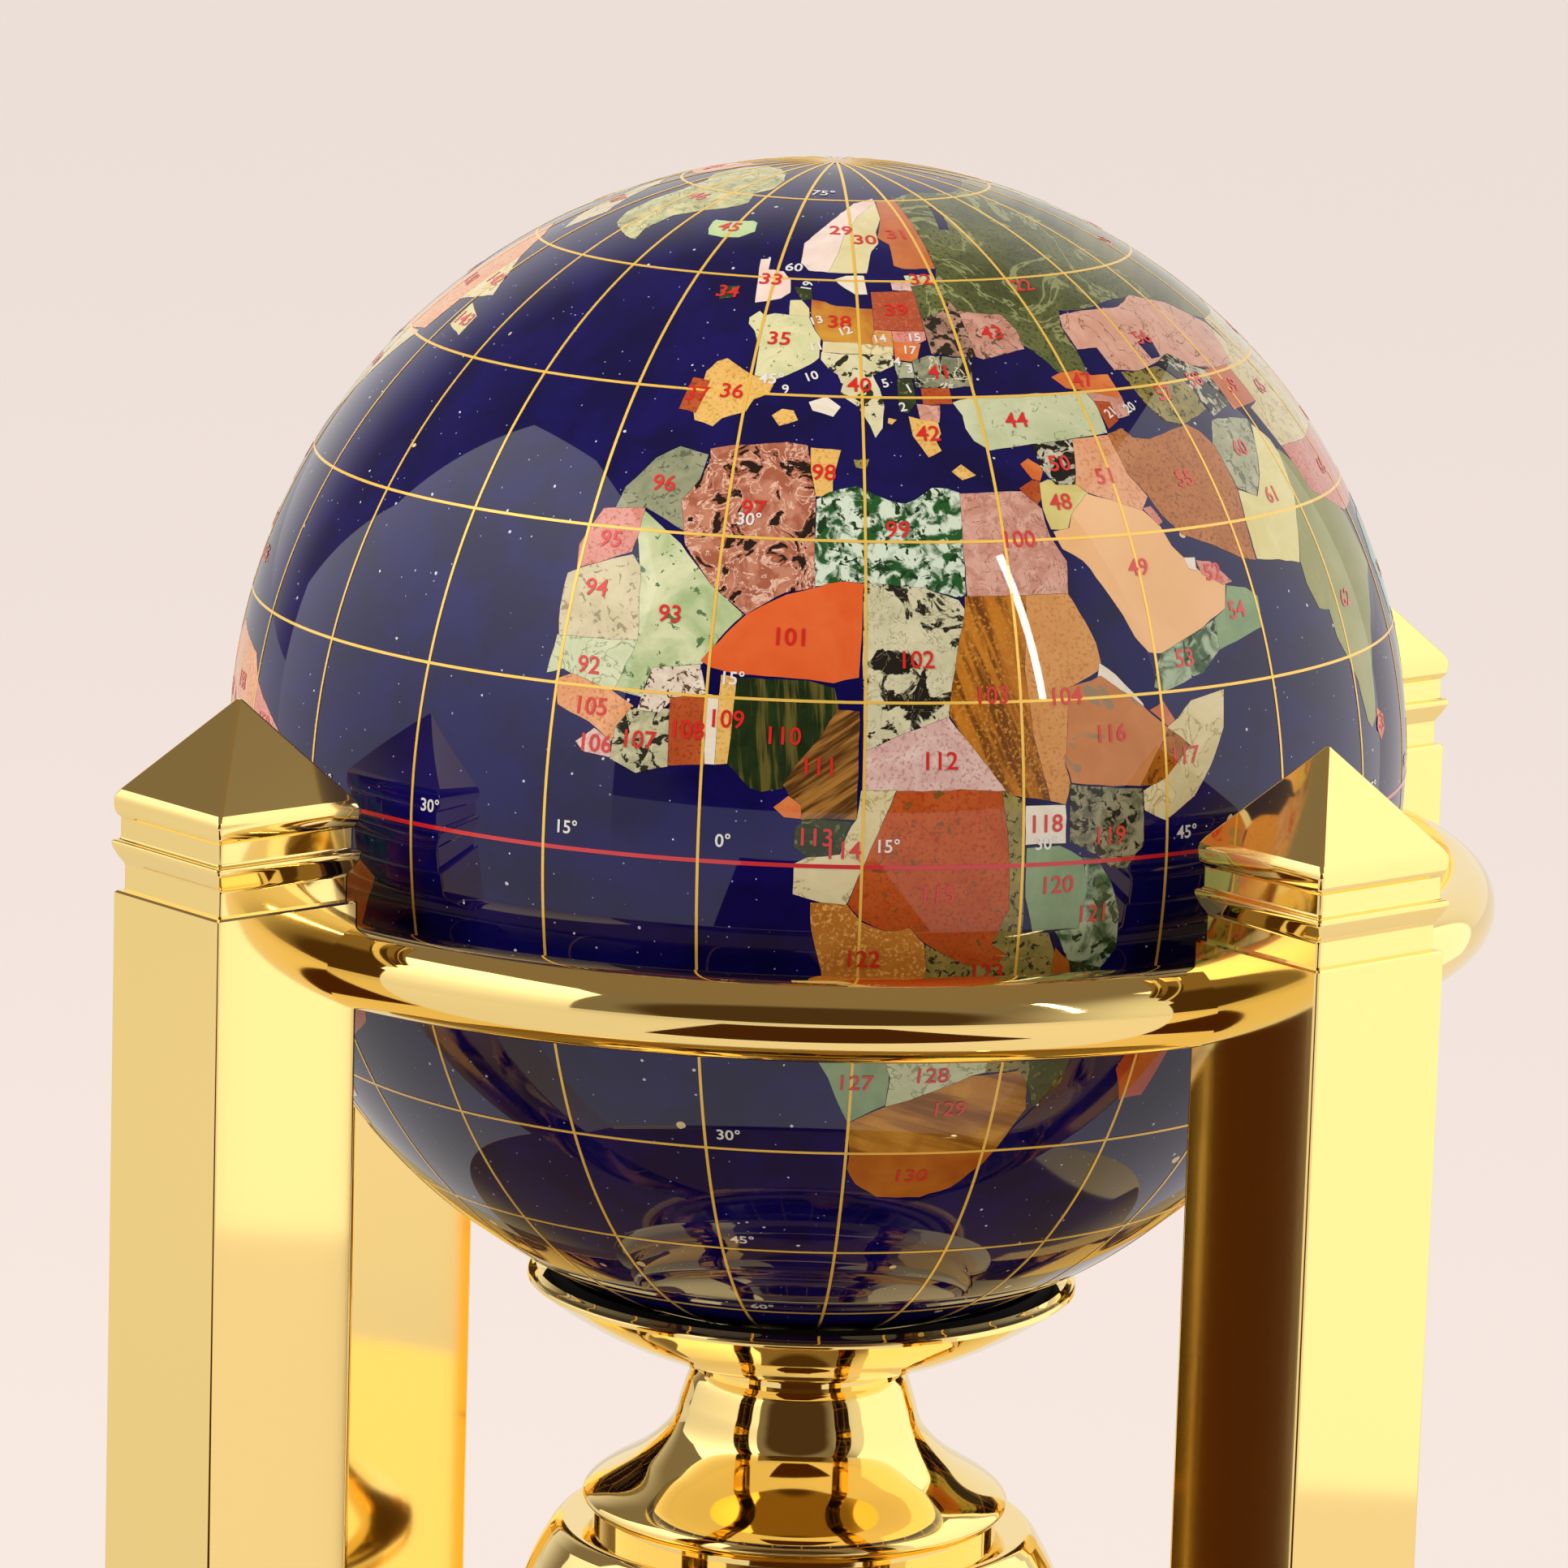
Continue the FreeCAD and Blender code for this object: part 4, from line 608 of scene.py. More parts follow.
    ("yemen", "green_white", "green", [(45.7, 18.6), (50.5, 20.2), (53.4, 21.2), (53.2, 18.3),
     (50.5, 16.4), (45.5, 15), (44.4, 15.5), (44.9, 17.4)]),
    ("oman", "namibia", "green", [(53.4, 21.2), (55.2, 22), (56.2, 24.1), (59, 23.7), (60.5, 22.6),
     (59.9, 19.8), (53.2, 18.3)]),
    ("iran", "iran", "amber", [(46.9, 40.3), (49.3, 40.8), (50.5, 39.7), (53, 39.3), (57, 39.9),
     (60.5, 40.4), (62.2, 39.4), (63.5, 37.8), (63.7, 33), (62.6, 30), (62, 26), (59.8, 26.5),
     (55.8, 28.2), (52.2, 29.4), (50.2, 31.5), (49.1, 33.8), (47.5, 36)]),
    ("kazakhstan", "kazakhstan", "rose", [(49.2, 52.8), (50.3, 54.4), (54, 54.7), (60, 54.7),
     (65, 54.6), (71, 55.8), (80, 53.8), (87, 50), (82, 45.4), (75, 45.4), (70, 46.3), (66.5, 48.2),
     (62, 47.3), (58, 46.8), (53.5, 47.2), (53, 50), (49.3, 50)]),
    ("aral_sea", SEA, "", [(62, 50.1), (65.6, 50.4), (64.6, 48), (62.3, 47.9)]),
    ("uzbekistan", "olive_gold", "green", [(54.5, 46.9), (58, 46.8), (62.3, 47), (66.3, 43.8),
     (66.2, 41.4), (60, 40.4), (57, 41), (55.2, 43.6)]),
    ("turkmenistan", "syria", "pale", [(62.5, 47.3), (66.5, 48.2), (70, 46.3), (72.4, 45.5),
     (72.4, 41.6), (66.8, 40.6), (66.2, 43.8)]),
    ("tajikistan", "terracotta", "red", [(72.4, 45.6), (80, 45.4), (80, 41), (72.4, 40.8)]),
    ("afghanistan", "afghanistan", "green", [(63.5, 38), (65.9, 40.3), (70, 40.2), (74, 39.6),
     (72.5, 37.2), (70.2, 34.8), (66.7, 31.9), (63.8, 33.2)]),
    ("pakistan", "pakistan", "pale", [(74.2, 39), (76.5, 37), (77, 34), (74.8, 31.2), (72, 27.8),
     (69.8, 24.9), (66, 25.6), (62.2, 26.1), (62.7, 29.8), (63.8, 33), (66.8, 31.9), (70.3, 34.8),
     (72.5, 37.2)]),
    ("india", "india", "green", [(77, 36), (80, 33.4), (88, 27.4), (89.2, 22), (87, 21), (82.5, 16.5),
     (80.2, 13), (79.5, 8.6), (78, 7.6), (77, 8.5), (75.8, 12.5), (74.5, 15), (73, 17.2), (72.8, 19.8),
     (70.8, 20.2), (69.8, 22.8), (70, 25), (72, 27.8), (74.8, 31.2)]),
    ("sri_lanka", "orange", "red", [(79.8, 9.4), (81, 8.8), (81.9, 7), (80.6, 6), (79.9, 7)]),
    # eastern Asia
    ("mongolia", "beige_fossil", "pale", [(88, 50.5), (98, 50.5), (103, 51.5), (118, 50), (119, 47),
     (111, 43.6), (104, 42), (96, 43), (88, 47)]),
    ("china_west", "cream_jade", "pale", [(80, 45.4), (82, 45.4), (87, 50), (88, 47), (96, 43),
     (97, 36), (88, 35.6), (78.5, 36), (77, 40.5), (80, 41)]),
    ("tibet", "rose", "rose", [(78.5, 36), (88, 35.6), (97, 36), (99, 28), (88.5, 27.6), (80, 31)]),
    ("china_central", "yellow", "amber", [(96, 43), (104, 42), (111, 43.6), (111, 33), (104, 28),
     (99, 28), (97, 36)]),
    ("china_east", "terracotta", "red", [(111, 43.6), (119, 47), (121, 40.5), (118, 39), (122, 37),
     (119.5, 34.5), (121.8, 31), (111, 30.5)]),
    ("china_south", "green_white", "green", [(99, 28), (104, 28), (111, 33), (111, 30.5), (121.8, 31),
     (119.5, 25.5), (117, 23.3), (108, 21.6), (101, 21.3), (98, 24)]),
    ("manchuria", "red_jasper", "red", [(118, 50), (127, 51), (134, 47.5), (131, 43), (125.5, 40.5),
     (121, 40.5), (119, 47)]),
    ("korea", "white_stone", "pale", [(125.5, 40.5), (129.6, 42), (127.5, 39.3), (129.4, 35.5),
     (126.3, 34.6)]),
    ("japan_north", "salmon", "red", [(141.2, 45.4), (145.4, 43.4), (141.2, 42)]),
    ("japan_south", "salmon", "red", [(130.2, 31.6), (132.4, 33.6), (136, 33.6), (140.8, 35.4),
     (141.9, 39.5), (141, 41.4), (139.5, 38.5), (136.8, 37), (131, 34.6)]),
    ("burma", "turquoise", "green", [(92.4, 22), (94.5, 26), (98, 26.5), (98, 24), (101, 21.3),
     (98.6, 18.6), (98.6, 10.5), (97.2, 16.4), (94.3, 16)]),
    ("thailand", "yellow", "amber", [(98.6, 18.6), (101, 21.3), (105, 17.5), (103, 13.4), (100.6, 13.2),
     (100, 7), (98.6, 10.5)]),
    ("vietnam", "malachite", "green", [(101, 21.3), (105, 22.8), (108, 21.5), (105.8, 19),
     (109.3, 12.5), (105.2, 8.8), (103.4, 11), (103, 13.4), (105, 17.5)]),
    ("malaya", "red_jasper", "red", [(100, 6.6), (102.4, 6), (104, 1.5), (101, 2.8)]),
    ("sumatra", "green_white", "green", [(95.3, 5.6), (104, -1), (106, -5.6), (102.5, -4.3),
     (96, 2.6)]),
    ("java", "beige_fossil", "pale", [(105.2, -6.8), (114.5, -8.7), (114.5, -7.4), (107, -5.8)]),
    ("borneo", "peach", "rose", [(109, 1.5), (117, 7), (119, 5.2), (117.5, 0.8), (116, -4),
     (110.2, -2.8)]),
    ("sulawesi", "white_stone", "pale", [(119.4, -5.4), (120.6, -3), (123, -0.9), (125, 1.5),
     (120.2, 1.1), (118.8, -3)]),
    ("new_guinea_west", "olive_gold", "green", [(131, -0.8), (138, -1.7), (141, -2.6), (141, -9),
     (138, -8.3), (135, -4.3)]),
    ("new_guinea_east", "rose", "rose", [(141, -2.6), (147.5, -6), (150.5, -10.5), (143, -9.2),
     (141, -9)]),
    ("philippines", "yellow", "amber", [(120.3, 18.5), (122.2, 18.3), (124, 13), (126.5, 7),
     (122.2, 7.2), (120.3, 14)]),
    # Oceania
    ("west_australia", "red_jasper", "red", [(113.6, -22), (114.8, -34.3), (118.5, -35), (124, -33),
     (129, -31.7), (129, -15), (122.3, -18)]),
    ("north_australia", "saudi", "amber", [(129, -15), (131, -12), (136.5, -12), (136, -15),
     (138, -16.6), (138, -26), (129, -26)]),
    ("south_australia", "green_white", "green", [(129, -26), (141, -26), (141, -38), (136, -35),
     (129, -31.7)]),
    ("queensland", "peach", "rose", [(138, -16.6), (140.8, -17.5), (142.4, -11), (146, -18.8),
     (153.4, -28), (141, -28), (141, -26), (138, -26)]),
    ("new_south_wales", "pale_jade", "pale", [(141, -28), (153.4, -28), (150.2, -37), (147, -38.8),
     (141, -38)]),
    ("tasmania", "brick", "red", [(144.8, -40.8), (148.2, -40.9), (147.5, -43.4), (145.6, -43)]),
    ("new_zealand", "turquoise", "green", [(172.8, -34.5), (178.3, -37.8), (175.3, -41.6),
     (174, -39.5)], [(172.8, -40.8), (174.2, -41.6), (170.5, -45.8), (168.5, -46.6), (166.7, -45.8)]),
    # northern Africa
    ("senegal", "pale_jade", "pale", [(-15.8, 19.4), (-7, 19.8), (-6, 14.4), (-12, 15.4), (-14.6, 16.3),
     (-16.3, 15.8)]),
    ("mali", "mali", "green", [(-9.2, 32), (-4.4, 29), (-0.9, 25.6), (2.9, 22.7), (0.6, 20.2), (0, 19),
     (-0.6, 17.9), (-5.4, 17.2), (-6.6, 14.6), (-9, 15), (-7.3, 19.6), (-8.3, 26.5), (-9.3, 29.5)]),
    ("mauritania", "beige_fossil", "pale", [(-16.1, 25.2), (-15.2, 25.6), (-12.5, 26.6), (-9.4, 27.6),
     (-8.2, 26.5), (-7.3, 19.6), (-15.6, 19.3), (-16.1, 22)]),
    ("western_sahara", "rose", "rose", [(-13.8, 31.8), (-9.1, 32.2), (-9.2, 29.4), (-9.6, 27.8),
     (-12.5, 26.6), (-15.2, 25.7), (-15.6, 28)]),
    ("morocco", "morocco", "green", [(-10.2, 36.2), (-9.3, 37.3), (-6.8, 38.7), (-3.2, 38),
     (-3.6, 35.4), (-5.2, 33.2), (-4.2, 30.2), (-9, 32.2), (-12.6, 31.9), (-12, 34)]),
    ("algeria", "algeria", "rose", [(-3.1, 38.7), (0, 39.3), (6, 39.8), (8.3, 39.6), (8.9, 37.7),
     (9.6, 34.3), (9.7, 28.8), (9.9, 25.5), (7, 25), (3.1, 22.7), (-0.8, 25.5), (-4, 29), (-5.2, 33.2),
     (-3.6, 35.4), (-3, 37.2)]),
    ("tunisia", "yellow", "amber", [(8.7, 39.3), (12.3, 39.2), (11.5, 36), (11.4, 34.4), (9.6, 34.3),
     (8.9, 37)]),
    ("libya", "libya", "green", [(9.7, 34), (11, 34.8), (14.2, 35.5), (17.5, 34.1), (19.5, 33.8),
     (20.6, 34.2), (22.6, 35.4), (24.5, 35.3), (25.7, 34.9), (25.4, 30), (25.2, 25), (24.4, 24.6),
     (21, 25.6), (14.8, 26.1), (9.9, 25.6), (9.7, 29)]),
    ("egypt", "egypt", "rose", [(25.7, 34.8), (33, 34.9), (35, 33), (35.3, 30.4), (36.7, 27.8),
     (36.2, 24.7), (25.3, 24.8), (25.4, 30)]),
    ("niger", "salmon", "red", [(0, 19.3), (3.1, 22.7), (7, 24.8), (9.9, 25.5), (12.5, 26.2),
     (14.8, 26), (14.6, 21), (14.4, 17.3), (11.9, 16.7), (9.6, 17), (2.8, 17.2), (0.2, 17.6),
     (-0.8, 18.2)]),
    ("chad", "chad", "pale", [(14.8, 26.1), (21, 25.6), (24.4, 24.4), (25, 23.5), (24.1, 19.8),
     (23.3, 16.6), (22.9, 13.6), (19, 12.3), (15, 10.6), (14.8, 15), (14.7, 20)]),
    ("sudan", "sudan", "amber", [(25, 24.8), (31.5, 24.8), (30.6, 18), (31.1, 12), (32.6, 5.8),
     (28, 6.7), (27, 8.2), (24.5, 11.6), (22.9, 13.9), (23.3, 16.6), (24.2, 20.8), (25, 23.5)]),
    ("sudan_east", "tan", "amber", [(31.5, 24.8), (36.2, 24.7), (37.6, 22), (38.5, 20), (38.8, 17.6),
     (35, 16), (34.2, 9), (34.7, 7.2), (34.2, 5.4), (32.6, 5.8), (31.1, 12), (30.6, 18)]),
    # western and central Africa
    ("guinea", "peach", "rose", [(-15.3, 15.2), (-13.6, 16), (-9.4, 14.9), (-6.9, 13.6), (-7.8, 11.2),
     (-8.9, 10.2), (-11.2, 11.8), (-13.2, 12.4), (-14.6, 13)]),
    ("sierra_leone", "pink_white", "pale", [(-12.4, 9.9), (-10.6, 11.3), (-8.9, 10.2), (-8.7, 8.7),
     (-11.5, 9)]),
    ("ivory_coast", "cream_black", "pale", [(-8.6, 11.5), (-7.1, 13.4), (-3.4, 13.6), (-3.2, 8.4),
     (-6.2, 7.6), (-8.8, 8.6)]),
    ("burkina_faso", "white_red", "pale", [(-5.5, 17.3), (-0.8, 17.9), (0, 15.2), (-3.3, 14.4),
     (-4.4, 13.2), (-6.6, 13.3)]),
    ("ghana", "brick", "red", [(-3.5, 14.6), (0, 15.2), (0.2, 8.8), (-3.2, 8.5)]),
    ("togo", "white_stone", "pale", [(0, 15.2), (1.2, 15.1), (1.2, 8.9), (0.2, 8.9)]),
    ("benin", "yellow", "amber", [(1.2, 17), (2.8, 16.9), (2.6, 13), (2.4, 9), (1.2, 8.9)]),
    ("nigeria", "nigeria", "dark", [(2.8, 16.9), (9.6, 16.9), (12.1, 16.3), (12.6, 14), (12, 13),
     (9.6, 9), (7.4, 7), (5.6, 6.6), (4.6, 6.9), (2.4, 9), (2.6, 13)]),
    ("cameroon", "tiger_eye", "dark", [(12.4, 14.3), (14.5, 14.2), (14.4, 4.4), (9.3, 4.2), (8.4, 6.2),
     (7.5, 7.4), (9, 9.6), (11, 12)]),
    ("central_africa", "pink_white", "rose", [(15, 10.6), (19, 12.4), (22.8, 13.7), (24.5, 11.7),
     (27.5, 8), (28.4, 6.8), (24, 7.1), (15, 6.9)]),
    ("guinea_coast", "orange", "red", [(6.8, 5.2), (8.2, 6.4), (9.3, 5.6), (9.3, 4.3), (7.8, 4.4)]),
    ("gabon", "dark_green", "green", [(8.8, 3.4), (9.6, 4.3), (14, 4.2), (12.8, 1.1), (10, 0.8),
     (8.8, 1.7)]),
    ("congo", "cream_jade", "pale", [(14.8, 7), (18, 7.1), (16.3, 3), (15.3, 0.3), (13.7, -3.5),
     (12, -3.6), (8.8, -2.6), (8.8, 0.2), (10, 0.8), (12.9, 1.1), (13.6, 3), (14.4, 4.5)]),
    ("congo_basin", "congo_red", "red", [(18, 7), (24, 7.1), (28.6, 6.8), (29.3, 2), (29.6, -5),
     (28.9, -8.5), (28, -9.6), (25.2, -9.4), (22.5, -8.1), (20.9, -7), (19.7, -5.7), (17.3, -6),
     (15.2, -5), (13.8, -3.4), (15.3, 0.3), (16.3, 3)]),
    ("congo_rim", "olive_gold", "green", [(28, 6.9), (29.8, 6.2), (30.2, 1), (30.3, -6.3), (28.9, -8.5),
     (27.4, -7.4), (28.9, -4), (28.6, 2)]),
    # eastern Africa
    # eritrea's white is partly the stone's own pale colour and partly a painted highlight along this
    # bright sliver
    ("eritrea", "white_stone", "pale", [(38.5, 18.2), (40.2, 17), (42.9, 14.2), (43.1, 13.2), (41, 15),
     (38.2, 16.4)]),
    ("ethiopia", "ethiopia", "amber", [(35, 16.1), (38.6, 16.9), (41.6, 14.9), (46, 11.4), (44.8, 9.4),
     (42, 6.6), (34.8, 7.3), (34.2, 9.2), (34.6, 12.5)]),
    ("djibouti", "terracotta", "red", [(43.6, 13.5), (45.2, 14.2), (46.4, 12.4), (45.6, 11.8)]),
    ("somalia", "cream_jade", "pale", [(45.5, 11.8), (46.8, 12.6), (48.6, 14), (52.9, 14.7),
     (52.3, 11.2), (50.4, 7.8), (48.2, 5.2), (44.8, 3.2), (42.5, 4.4), (42.3, 6.2), (45, 7.2)]),
    ("ogaden", "amber", "amber", [(42, 6.6), (45.6, 11.7), (48, 9.9), (45, 7.2), (43.4, 6.6)]),
    ("uganda", "white_stone", "rose", [(30.2, 5.5), (34.2, 5.4), (34.2, 1.9), (30.2, 1.9)]),
    ("kenya", "kenya", "dark", [(34.6, 7.2), (42.3, 6.4), (42.4, 1.2), (40.6, -0.9), (39, -0.7),
     (37.5, 0.5), (34.6, 2)]),
    ("rwanda", "namibia", "pale", [(30.3, 1.6), (33.6, 1.7), (36, 0.4), (36.6, -2.5), (36, -6.2),
     (31.3, -6.3), (30.4, -3)]),
    ("tanzania", "green_white", "green", [(36, 0.5), (37.6, 0.3), (39, -2), (40.1, -5), (40.2, -8.6),
     (38.7, -10.4), (35.3, -9.4), (33.6, -6.4), (36, -6.2), (36.6, -2.5)]),
    # southern Africa
    ("angola", "angola", "amber", [(10.4, -3.4), (13.8, -3.5), (15.1, -5.1), (17.3, -6), (19.7, -5.7),
     (21, -7.2), (21.4, -9.4), (20.4, -18), (10.8, -18), (12, -13), (11.6, -10), (10.6, -6)]),
    ("zambia", "olive_gold", "green", [(21, -7.2), (22.5, -8.1), (25.2, -9.4), (28, -9.6), (29, -8.4),
     (29.6, -6.3), (32.9, -6.5), (34, -9), (33.4, -12.6), (28.4, -17.8), (20.4, -18), (21.4, -9.4)]),
    ("malawi", "brown_orange", "amber", [(33.8, -8), (35.4, -9.4), (36, -14), (34, -16),
     (33.4, -12.6)]),
    ("mozambique", "dark_green", "green", [(35.4, -9.4), (38.8, -10.3), (40, -14), (37.4, -18),
     (36.8, -22.4), (34.4, -25), (33, -22), (33.2, -17), (36, -14)]),
    ("zimbabwe", "olive_gold", "green", [(28.4, -17.8), (33.4, -12.8), (34, -16), (33.2, -17),
     (33, -22), (32, -20.6), (28.4, -20.6)]),
    ("namibia", "namibia", "green", [(10.8, -18), (17.8, -18), (18.7, -20.5), (18.6, -24),
     (14.9, -26.2), (13.8, -24), (12.6, -21)]),
    ("botswana", "pale_jade", "pale", [(17.8, -18), (28.6, -17.8), (28.4, -20.6), (27, -21),
     (21, -23.5), (18.6, -24.2), (18.8, -21)]),
    ("south_africa", "south_amber", "amber", [(14.8, -26.3), (18.6, -24.2), (21, -23.5), (27, -21),
     (32, -20.6), (33, -22), (33.6, -25), (31.4, -29.9), (15.4, -29.9)]),
    ("cape", "brown_orange", "amber", [(15.4, -30), (31.3, -30), (30.4, -31.6), (27.5, -34.8),
     (24, -36), (19, -35.9), (16.3, -34), (15.2, -32)]),
    ("madagascar", "madagascar", "red", [(49, -12), (50.4, -15.8), (47.4, -24.8), (44.6, -25),
     (43, -21.4), (44.8, -16.3)]),
    # North America
    ("alaska", "marble", "pale", [(-168, 66), (-156, 71.2), (-141, 69.8), (-141, 60.2), (-150, 60),
     (-163, 55.2), (-158, 58.8), (-165.5, 61.5)]),
    ("yukon", "yellow", "amber", [(-141, 69.8), (-128, 70), (-120, 69.6), (-120, 60), (-134, 58.3),
     (-141, 60.2)]),
    ("northern_plains", "salmon", "red", [(-120, 69.6), (-104, 68.2), (-102, 60), (-120, 60)]),
    ("nunavut", "pale_jade", "pale", [(-104, 68.2), (-96, 72), (-84, 69.4), (-86, 66), (-93.5, 60.6),
     (-102, 60)]),
    ("arctic_islands", "rose", "rose", [(-122, 75), (-108, 78), (-90, 81.4), (-72, 83), (-78, 76.5),
     (-96, 75.4), (-110, 73)]),
    ("baffin", "beige_fossil", "pale", [(-88, 73.6), (-76, 72.8), (-62, 66.6), (-66, 62.4), (-73, 65),
     (-78, 70)]),
    ("british_columbia", "green_white", "green", [(-134, 58.3), (-120, 60), (-114, 54), (-114, 49),
     (-124, 48.6)]),
    ("prairies", "orange", "red", [(-120, 60), (-102, 60), (-100, 49), (-114, 49), (-114, 54)]),
    ("ontario", "olive_gold", "green", [(-102, 60), (-93.5, 60.6), (-92.5, 57), (-82, 52.8),
     (-79.6, 51.5), (-79.4, 43.4), (-84, 46), (-90, 48), (-100, 49)]),
    ("quebec", "peach", "rose", [(-79.4, 54), (-78, 62), (-70, 60.6), (-64, 57.4), (-65, 50.4),
     (-66, 46), (-74, 45), (-79.5, 43.6)]),
    ("labrador", "cream_jade", "pale", [(-64, 57.4), (-60, 55.6), (-55.4, 52.2), (-65, 50.4)]),
    ("newfoundland", "sweden", "pale", [(-59, 50.6), (-53.4, 49.4), (-53, 46.8), (-58.6, 47.6)]),
    ("pacific_states", "red_jasper", "red", [(-124, 48.6), (-114, 49), (-114, 40), (-114.4, 34),
     (-117, 32.5), (-121, 35), (-124.2, 40)]),
    ("mountain_states", "ukraine", "rose", [(-114, 49), (-104, 49), (-103, 36), (-106, 31.6),
     (-114.4, 33)]),
    ("plains_states", "saudi", "amber", [(-104, 49), (-94, 48.8), (-94, 36.4), (-103, 36.4)]),
    ("texas", "pale_jade", "pale", [(-103, 36.4), (-94, 36.4), (-93.6, 29.8), (-97.4, 26.6),
     (-102, 29.4), (-106, 31.6)]),
    ("lakes_states", "green_white", "green", [(-94, 48.8), (-84, 46), (-82.4, 42), (-83, 37),
     (-94, 36.4)]),
    ("southern_states", "brick", "red", [(-94, 36.4), (-83, 37), (-80.6, 32), (-81.4, 30.4),
     (-90, 29.4), (-93.6, 29.8)]),
    ("atlantic_states", "beige_fossil", "pale", [(-82.4, 42), (-79.4, 43.4), (-74, 45), (-67.4, 45.4),
     (-70.6, 42), (-76, 35), (-80.6, 32), (-83, 37)]),
    ("florida", "orange", "red", [(-84.4, 30.4), (-81.4, 30.6), (-80.2, 25.4), (-82.6, 27.6)]),
    ("mexico", "turquoise", "green", [(-117, 32.5), (-106, 31.6), (-102, 29.4), (-97.4, 26.6),
     (-97.2, 20.4), (-94.5, 18.2), (-95, 16), (-105.5, 20.2), (-113, 31), (-110, 23.2)]),
    ("yucatan", "rose", "rose", [(-94.5, 18.2), (-91, 18.8), (-90.4, 21.2), (-87, 21.4), (-88.4, 16),
     (-92, 14.6), (-95, 16)]),
    ("central_america", "yellow", "amber", [(-92, 14.6), (-88.4, 16), (-83.3, 15), (-83.2, 10),
     (-77.4, 8.7), (-77.9, 7.2), (-80.5, 7.2), (-88, 12.8)]),
    ("cuba", "white_stone", "pale", [(-84.8, 21.9), (-81, 23.2), (-74.3, 20.2), (-77.6, 19.9)]),
    ("hispaniola", "brick", "red", [(-74.3, 18.4), (-72, 19.9), (-68.5, 18.5)]),
    # South America
    ("colombia", "salmon", "red", [(-77.9, 7.2), (-77.4, 8.7), (-72, 12.2), (-72, 7), (-69.6, 6),
     (-70, -3), (-75, 0), (-79, 1.6)]),
    ("venezuela", "peach", "rose", [(-72, 12.2), (-62, 10.6), (-60, 8.4), (-61, 4.4), (-67, 1.4),
     (-69.6, 6), (-72, 7)]),
    ("guianas", "rose", "rose", [(-60, 8.4), (-51.5, 4.3), (-54, 2.2), (-61, 4.4)]),
    ("amazonia", "green_white", "green", [(-67, 1.4), (-61, 4.4), (-54, 2.2), (-56, -9), (-66, -10),
     (-73, -8), (-70, -3)]),
    ("para", "malachite", "green", [(-54, 2.2), (-51.5, 4.3), (-50, 0), (-44, -2.6), (-46, -10),
     (-56, -9)]),
    ("nordeste", "orange", "red", [(-44, -2.6), (-40, -2.8), (-35, -6), (-38.8, -13), (-39.4, -18),
     (-46, -17), (-46, -10)]),
    ("mato_grosso", "olive_gold", "green", [(-56, -9), (-46, -10), (-46, -17), (-52, -23), (-57.6, -20),
     (-60, -13)]),
    ("brazil_south", "terracotta", "red", [(-46, -17), (-39.4, -18), (-41, -22), (-48.5, -26.5),
     (-53.5, -33.4), (-57, -30), (-54, -25), (-52, -23)]),
    ("ecuador", "brick", "red", [(-79, 1.6), (-75, 0), (-78.6, -4.6), (-80.6, -3.4)]),
    ("peru", "yellow", "amber", [(-80.6, -3.4), (-78.6, -4.6), (-75, 0), (-70, -3), (-73, -8),
     (-69.4, -12), (-70.3, -18.3), (-76.3, -13.8), (-81, -5.4)]),
    ("bolivia", "beige_fossil", "pale", [(-69.4, -12), (-66, -10), (-60, -13), (-57.6, -20),
     (-64, -22.4), (-68, -22), (-70.3, -18.3)]),
    ("paraguay", "rose", "rose", [(-62.4, -21), (-57.6, -20), (-54, -25), (-57, -27.2)]),
    ("uruguay", "white_stone", "pale", [(-57, -30), (-53.5, -33.4), (-57.8, -34.6)]),
    ("argentina_north", "saudi", "amber", [(-68, -22), (-64, -22.4), (-62.4, -21.6), (-57, -27.2),
     (-57, -30), (-57.8, -34.6), (-57.5, -38), (-62.2, -39), (-70, -38), (-69.8, -30)]),
    ("patagonia", "marble", "pale", [(-70, -38), (-62.2, -39), (-65.2, -44), (-69, -52), (-66, -54.6),
     (-71, -54), (-72, -46)]),
    ("chile", "red_jasper", "red", [(-70.3, -18.3), (-68, -22), (-69.8, -30), (-70, -38), (-72, -46),
     (-71, -54), (-75.2, -49), (-73.5, -40), (-71.4, -30)]),
    # Antarctica
    ("antarctic_peninsula", "marble", "pale", [(-60, -64), (-56, -70), (-58, -78), (-80, -78),
     (-74, -71.6), (-66, -67.6)]),
    ("queen_maud_land", "pearl", "pale", [(-58, -78), (-40, -77), (-20, -73), (0, -70), (30, -69.4),
     (60, -67.6), (60, -82.6), (0, -82.6), (-58, -82.6)]),
    ("wilkes_land", "marble", "pale", [(60, -67.6), (90, -66.6), (120, -66.8), (145, -67.6), (165, -71),
     (165, -82.6), (110, -82.6), (60, -82.6)]),
    ("ross_land", "pearl", "pale", [(165, -71), (170, -78), (190, -79), (190, -82.6), (165, -82.6)],
     [(-169, -79), (-155, -77), (-135, -74.6), (-110, -74), (-80, -73), (-80, -78), (-58, -78),
     (-58, -82.6), (-110, -82.6), (-169, -82.6)]),
]

EDGE_STEP = 1.5                     # degrees between points on a stone's outline
GRID_STEP = 2.5                     # degrees between points inside the stones
EDGE_WAVE = 0.13                    # how far the outlines wander, degrees
WAVE_PER_DEGREE = 0.9
GRID_WEST, GRID_EAST, GRID_SOUTH, GRID_NORTH = -170, 192, -82.6, 88
GRID_SHIFT = (0.31, 0.17)           # keeps grid points off the round numbers of the outlines


